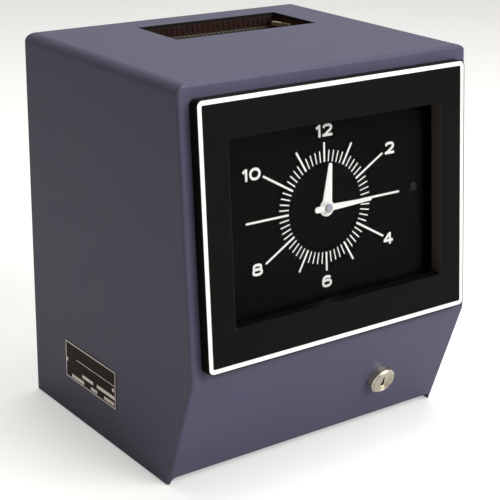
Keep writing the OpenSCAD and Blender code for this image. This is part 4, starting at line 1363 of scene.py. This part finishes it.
@dataclass
class Studio:
    """The pale floor, the soft lamps and the camera."""

    camera_spot: tuple[float, float, float] = (-600.28, -813.52, 494.4)
    azimuth: float = 36.426
    pitch: float = 19.802
    roll: float = 0.968
    lens: float = 99.81
    sensor: float = 36.0
    floor_size: float = 9000.0
    floor_lift: float = 0.36
    clouds_per_metre: float = 3.0
    air_level: float = 0.3
    mirror_level: float = 0.55
    lamp_target: tuple[float, float, float] = (0.0, 0.0, 140.0)
    lamps: tuple[tuple[str, tuple[float, float, float], float, float], ...] = (
        ("key_lamp", (700, -1700, 1300), 1500, 40), ("top_lamp", (200, 200, 1900), 1600, 24),
    )

    def build(self) -> None:
        """Set up the stage."""
        self.lay_floor()
        self.light_world()
        for name, spot, size, power in self.lamps:
            self.hang_lamp(name, spot, size, power)
        self.place_camera()

    def seen_by(self, tree: bpy.types.NodeTree, *rays: str) -> bpy.types.NodeSocket:
        """Tell the rays that look at a background from those that light the object.

        Args:
            tree: The nodes of the floor or of the world.
            rays: The light path's outputs that count as looking.

        Returns:
            A value of 1 for those rays, and 0 for the others.
        """
        path = add_node(tree, "ShaderNodeLightPath")
        seen = path.outputs[rays[0]]
        for ray in rays[1:]:
            seen = add_node(tree, "ShaderNodeMath", {0: seen, 1: path.outputs[ray]}, operation="MAXIMUM").outputs[0]
        return seen

    def lay_floor(self) -> None:
        """Lay a pale floor that the camera sees as white, with the object's shadow on it."""
        deselect()
        bpy.ops.mesh.primitive_plane_add(size=self.floor_size * MM, location=(0, 0, 0))
        floor = current()
        floor.name = "studio_floor"
        made = bpy.data.materials.new("pale painted floor")
        made.use_nodes = True
        tree = made.node_tree
        shader = tree.nodes["Principled BSDF"]
        place = add_node(tree, "ShaderNodeTexCoord")
        cloud = add_node(
            tree, "ShaderNodeTexNoise", {"Vector": place.outputs["Object"], "Scale": self.clouds_per_metre}
        )
        pale = add_node(
            tree, "ShaderNodeMix", {0: cloud.outputs[0], 6: linear("#e4e3e1"), 7: linear("#e8e8e7")}, data_type="RGBA"
        )
        tree.links.new(pale.outputs[2], shader.inputs["Base Color"])
        shader.inputs["Roughness"].default_value = 0.9
        shader.inputs["Specular IOR Level"].default_value = 0.1
        seen = self.seen_by(tree, "Is Camera Ray", "Is Transmission Ray")
        lift = add_node(tree, "ShaderNodeMath", {0: seen, 1: self.floor_lift}, operation="MULTIPLY")
        shader.inputs["Emission Color"].default_value = (1, 1, 1, 1)
        tree.links.new(lift.outputs[0], shader.inputs["Emission Strength"])
        floor.data.materials.append(made)

    def light_world(self) -> None:
        """Fill the scene with an even pale light, and show it as white where it is seen."""
        world = bpy.data.worlds.new("studio_air")
        bpy.context.scene.world = world
        world.use_nodes = True
        tree = world.node_tree
        back = tree.nodes["Background"]
        place = add_node(tree, "ShaderNodeTexCoord")
        parts = add_node(tree, "ShaderNodeSeparateXYZ", {0: place.outputs["Generated"]})
        side = add_node(tree, "ShaderNodeMapRange", {"Value": parts.outputs["X"], "From Min": -1.0})
        air = add_node(
            tree, "ShaderNodeMix", {0: side.outputs[0], 6: linear("#c8b793"), 7: linear("#f8f9ff")}, data_type="RGBA"
        )
        seen = self.seen_by(tree, "Is Camera Ray", "Is Transmission Ray")
        shade = add_node(tree, "ShaderNodeMix", {0: seen, 6: air.outputs[2], 7: linear("#f4f5f7")}, data_type="RGBA")
        tree.links.new(shade.outputs[2], back.inputs["Color"])
        mirrored = add_node(
            tree,
            "ShaderNodeMapRange",
            {"Value": self.seen_by(tree, "Is Glossy Ray"), "To Min": self.air_level, "To Max": self.mirror_level},
        )
        level = add_node(tree, "ShaderNodeMath", {0: seen, 1: mirrored.outputs[0]}, operation="MAXIMUM")
        tree.links.new(level.outputs[0], back.inputs["Strength"])

    def hang_lamp(self, name: str, spot: tuple[float, float, float], size: float, power: float) -> None:
        """Hang a square soft lamp that faces the clock.

        Args:
            name: The lamp's name.
            spot: Its place in millimetres.
            size: Its side in millimetres.
            power: Its power in watts.
        """
        deselect()
        where = Vector(spot) * MM
        bpy.ops.object.light_add(type="AREA", location=where)
        lamp = current()
        lamp.name = name
        lamp.data.shape = "SQUARE"
        lamp.data.size = size * MM
        lamp.data.energy = power
        lamp.rotation_euler = (Vector(self.lamp_target) * MM - where).to_track_quat("-Z", "Y").to_euler()

    def place_camera(self) -> None:
        """Stand the camera at the photograph's viewing angle."""
        deselect()
        bpy.ops.object.camera_add(location=Vector(self.camera_spot) * MM)
        camera = current()
        camera.name = "camera"
        azimuth, pitch, roll = (math.radians(a) for a in (self.azimuth, self.pitch, self.roll))
        aim = Matrix.Rotation(-azimuth, 4, "Z") @ Matrix.Rotation(math.pi / 2 - pitch, 4, "X")
        camera.rotation_euler = (aim @ Matrix.Rotation(roll, 4, "Z")).to_euler()
        camera.data.lens = self.lens
        camera.data.sensor_width = self.sensor
        camera.data.sensor_fit = "HORIZONTAL"
        bpy.context.scene.camera = camera


def main() -> None:
    """Build and dress the clock, sub-assembly by sub-assembly, and set the stage."""
    logging.basicConfig(level=logging.INFO, format="%(name)s: %(message)s")
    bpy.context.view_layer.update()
    bpy.context.scene.view_settings.view_transform = "Standard"
    Studio().build()
    outside = (Hood(), DialFrame(), DialFace(), KeyLock(), RatingPlate(), CardThroat())
    for part in outside + (Chassis(), Movement(), Printer(), Wiring()):
        part.build()


if __name__ == "__main__":
    main()
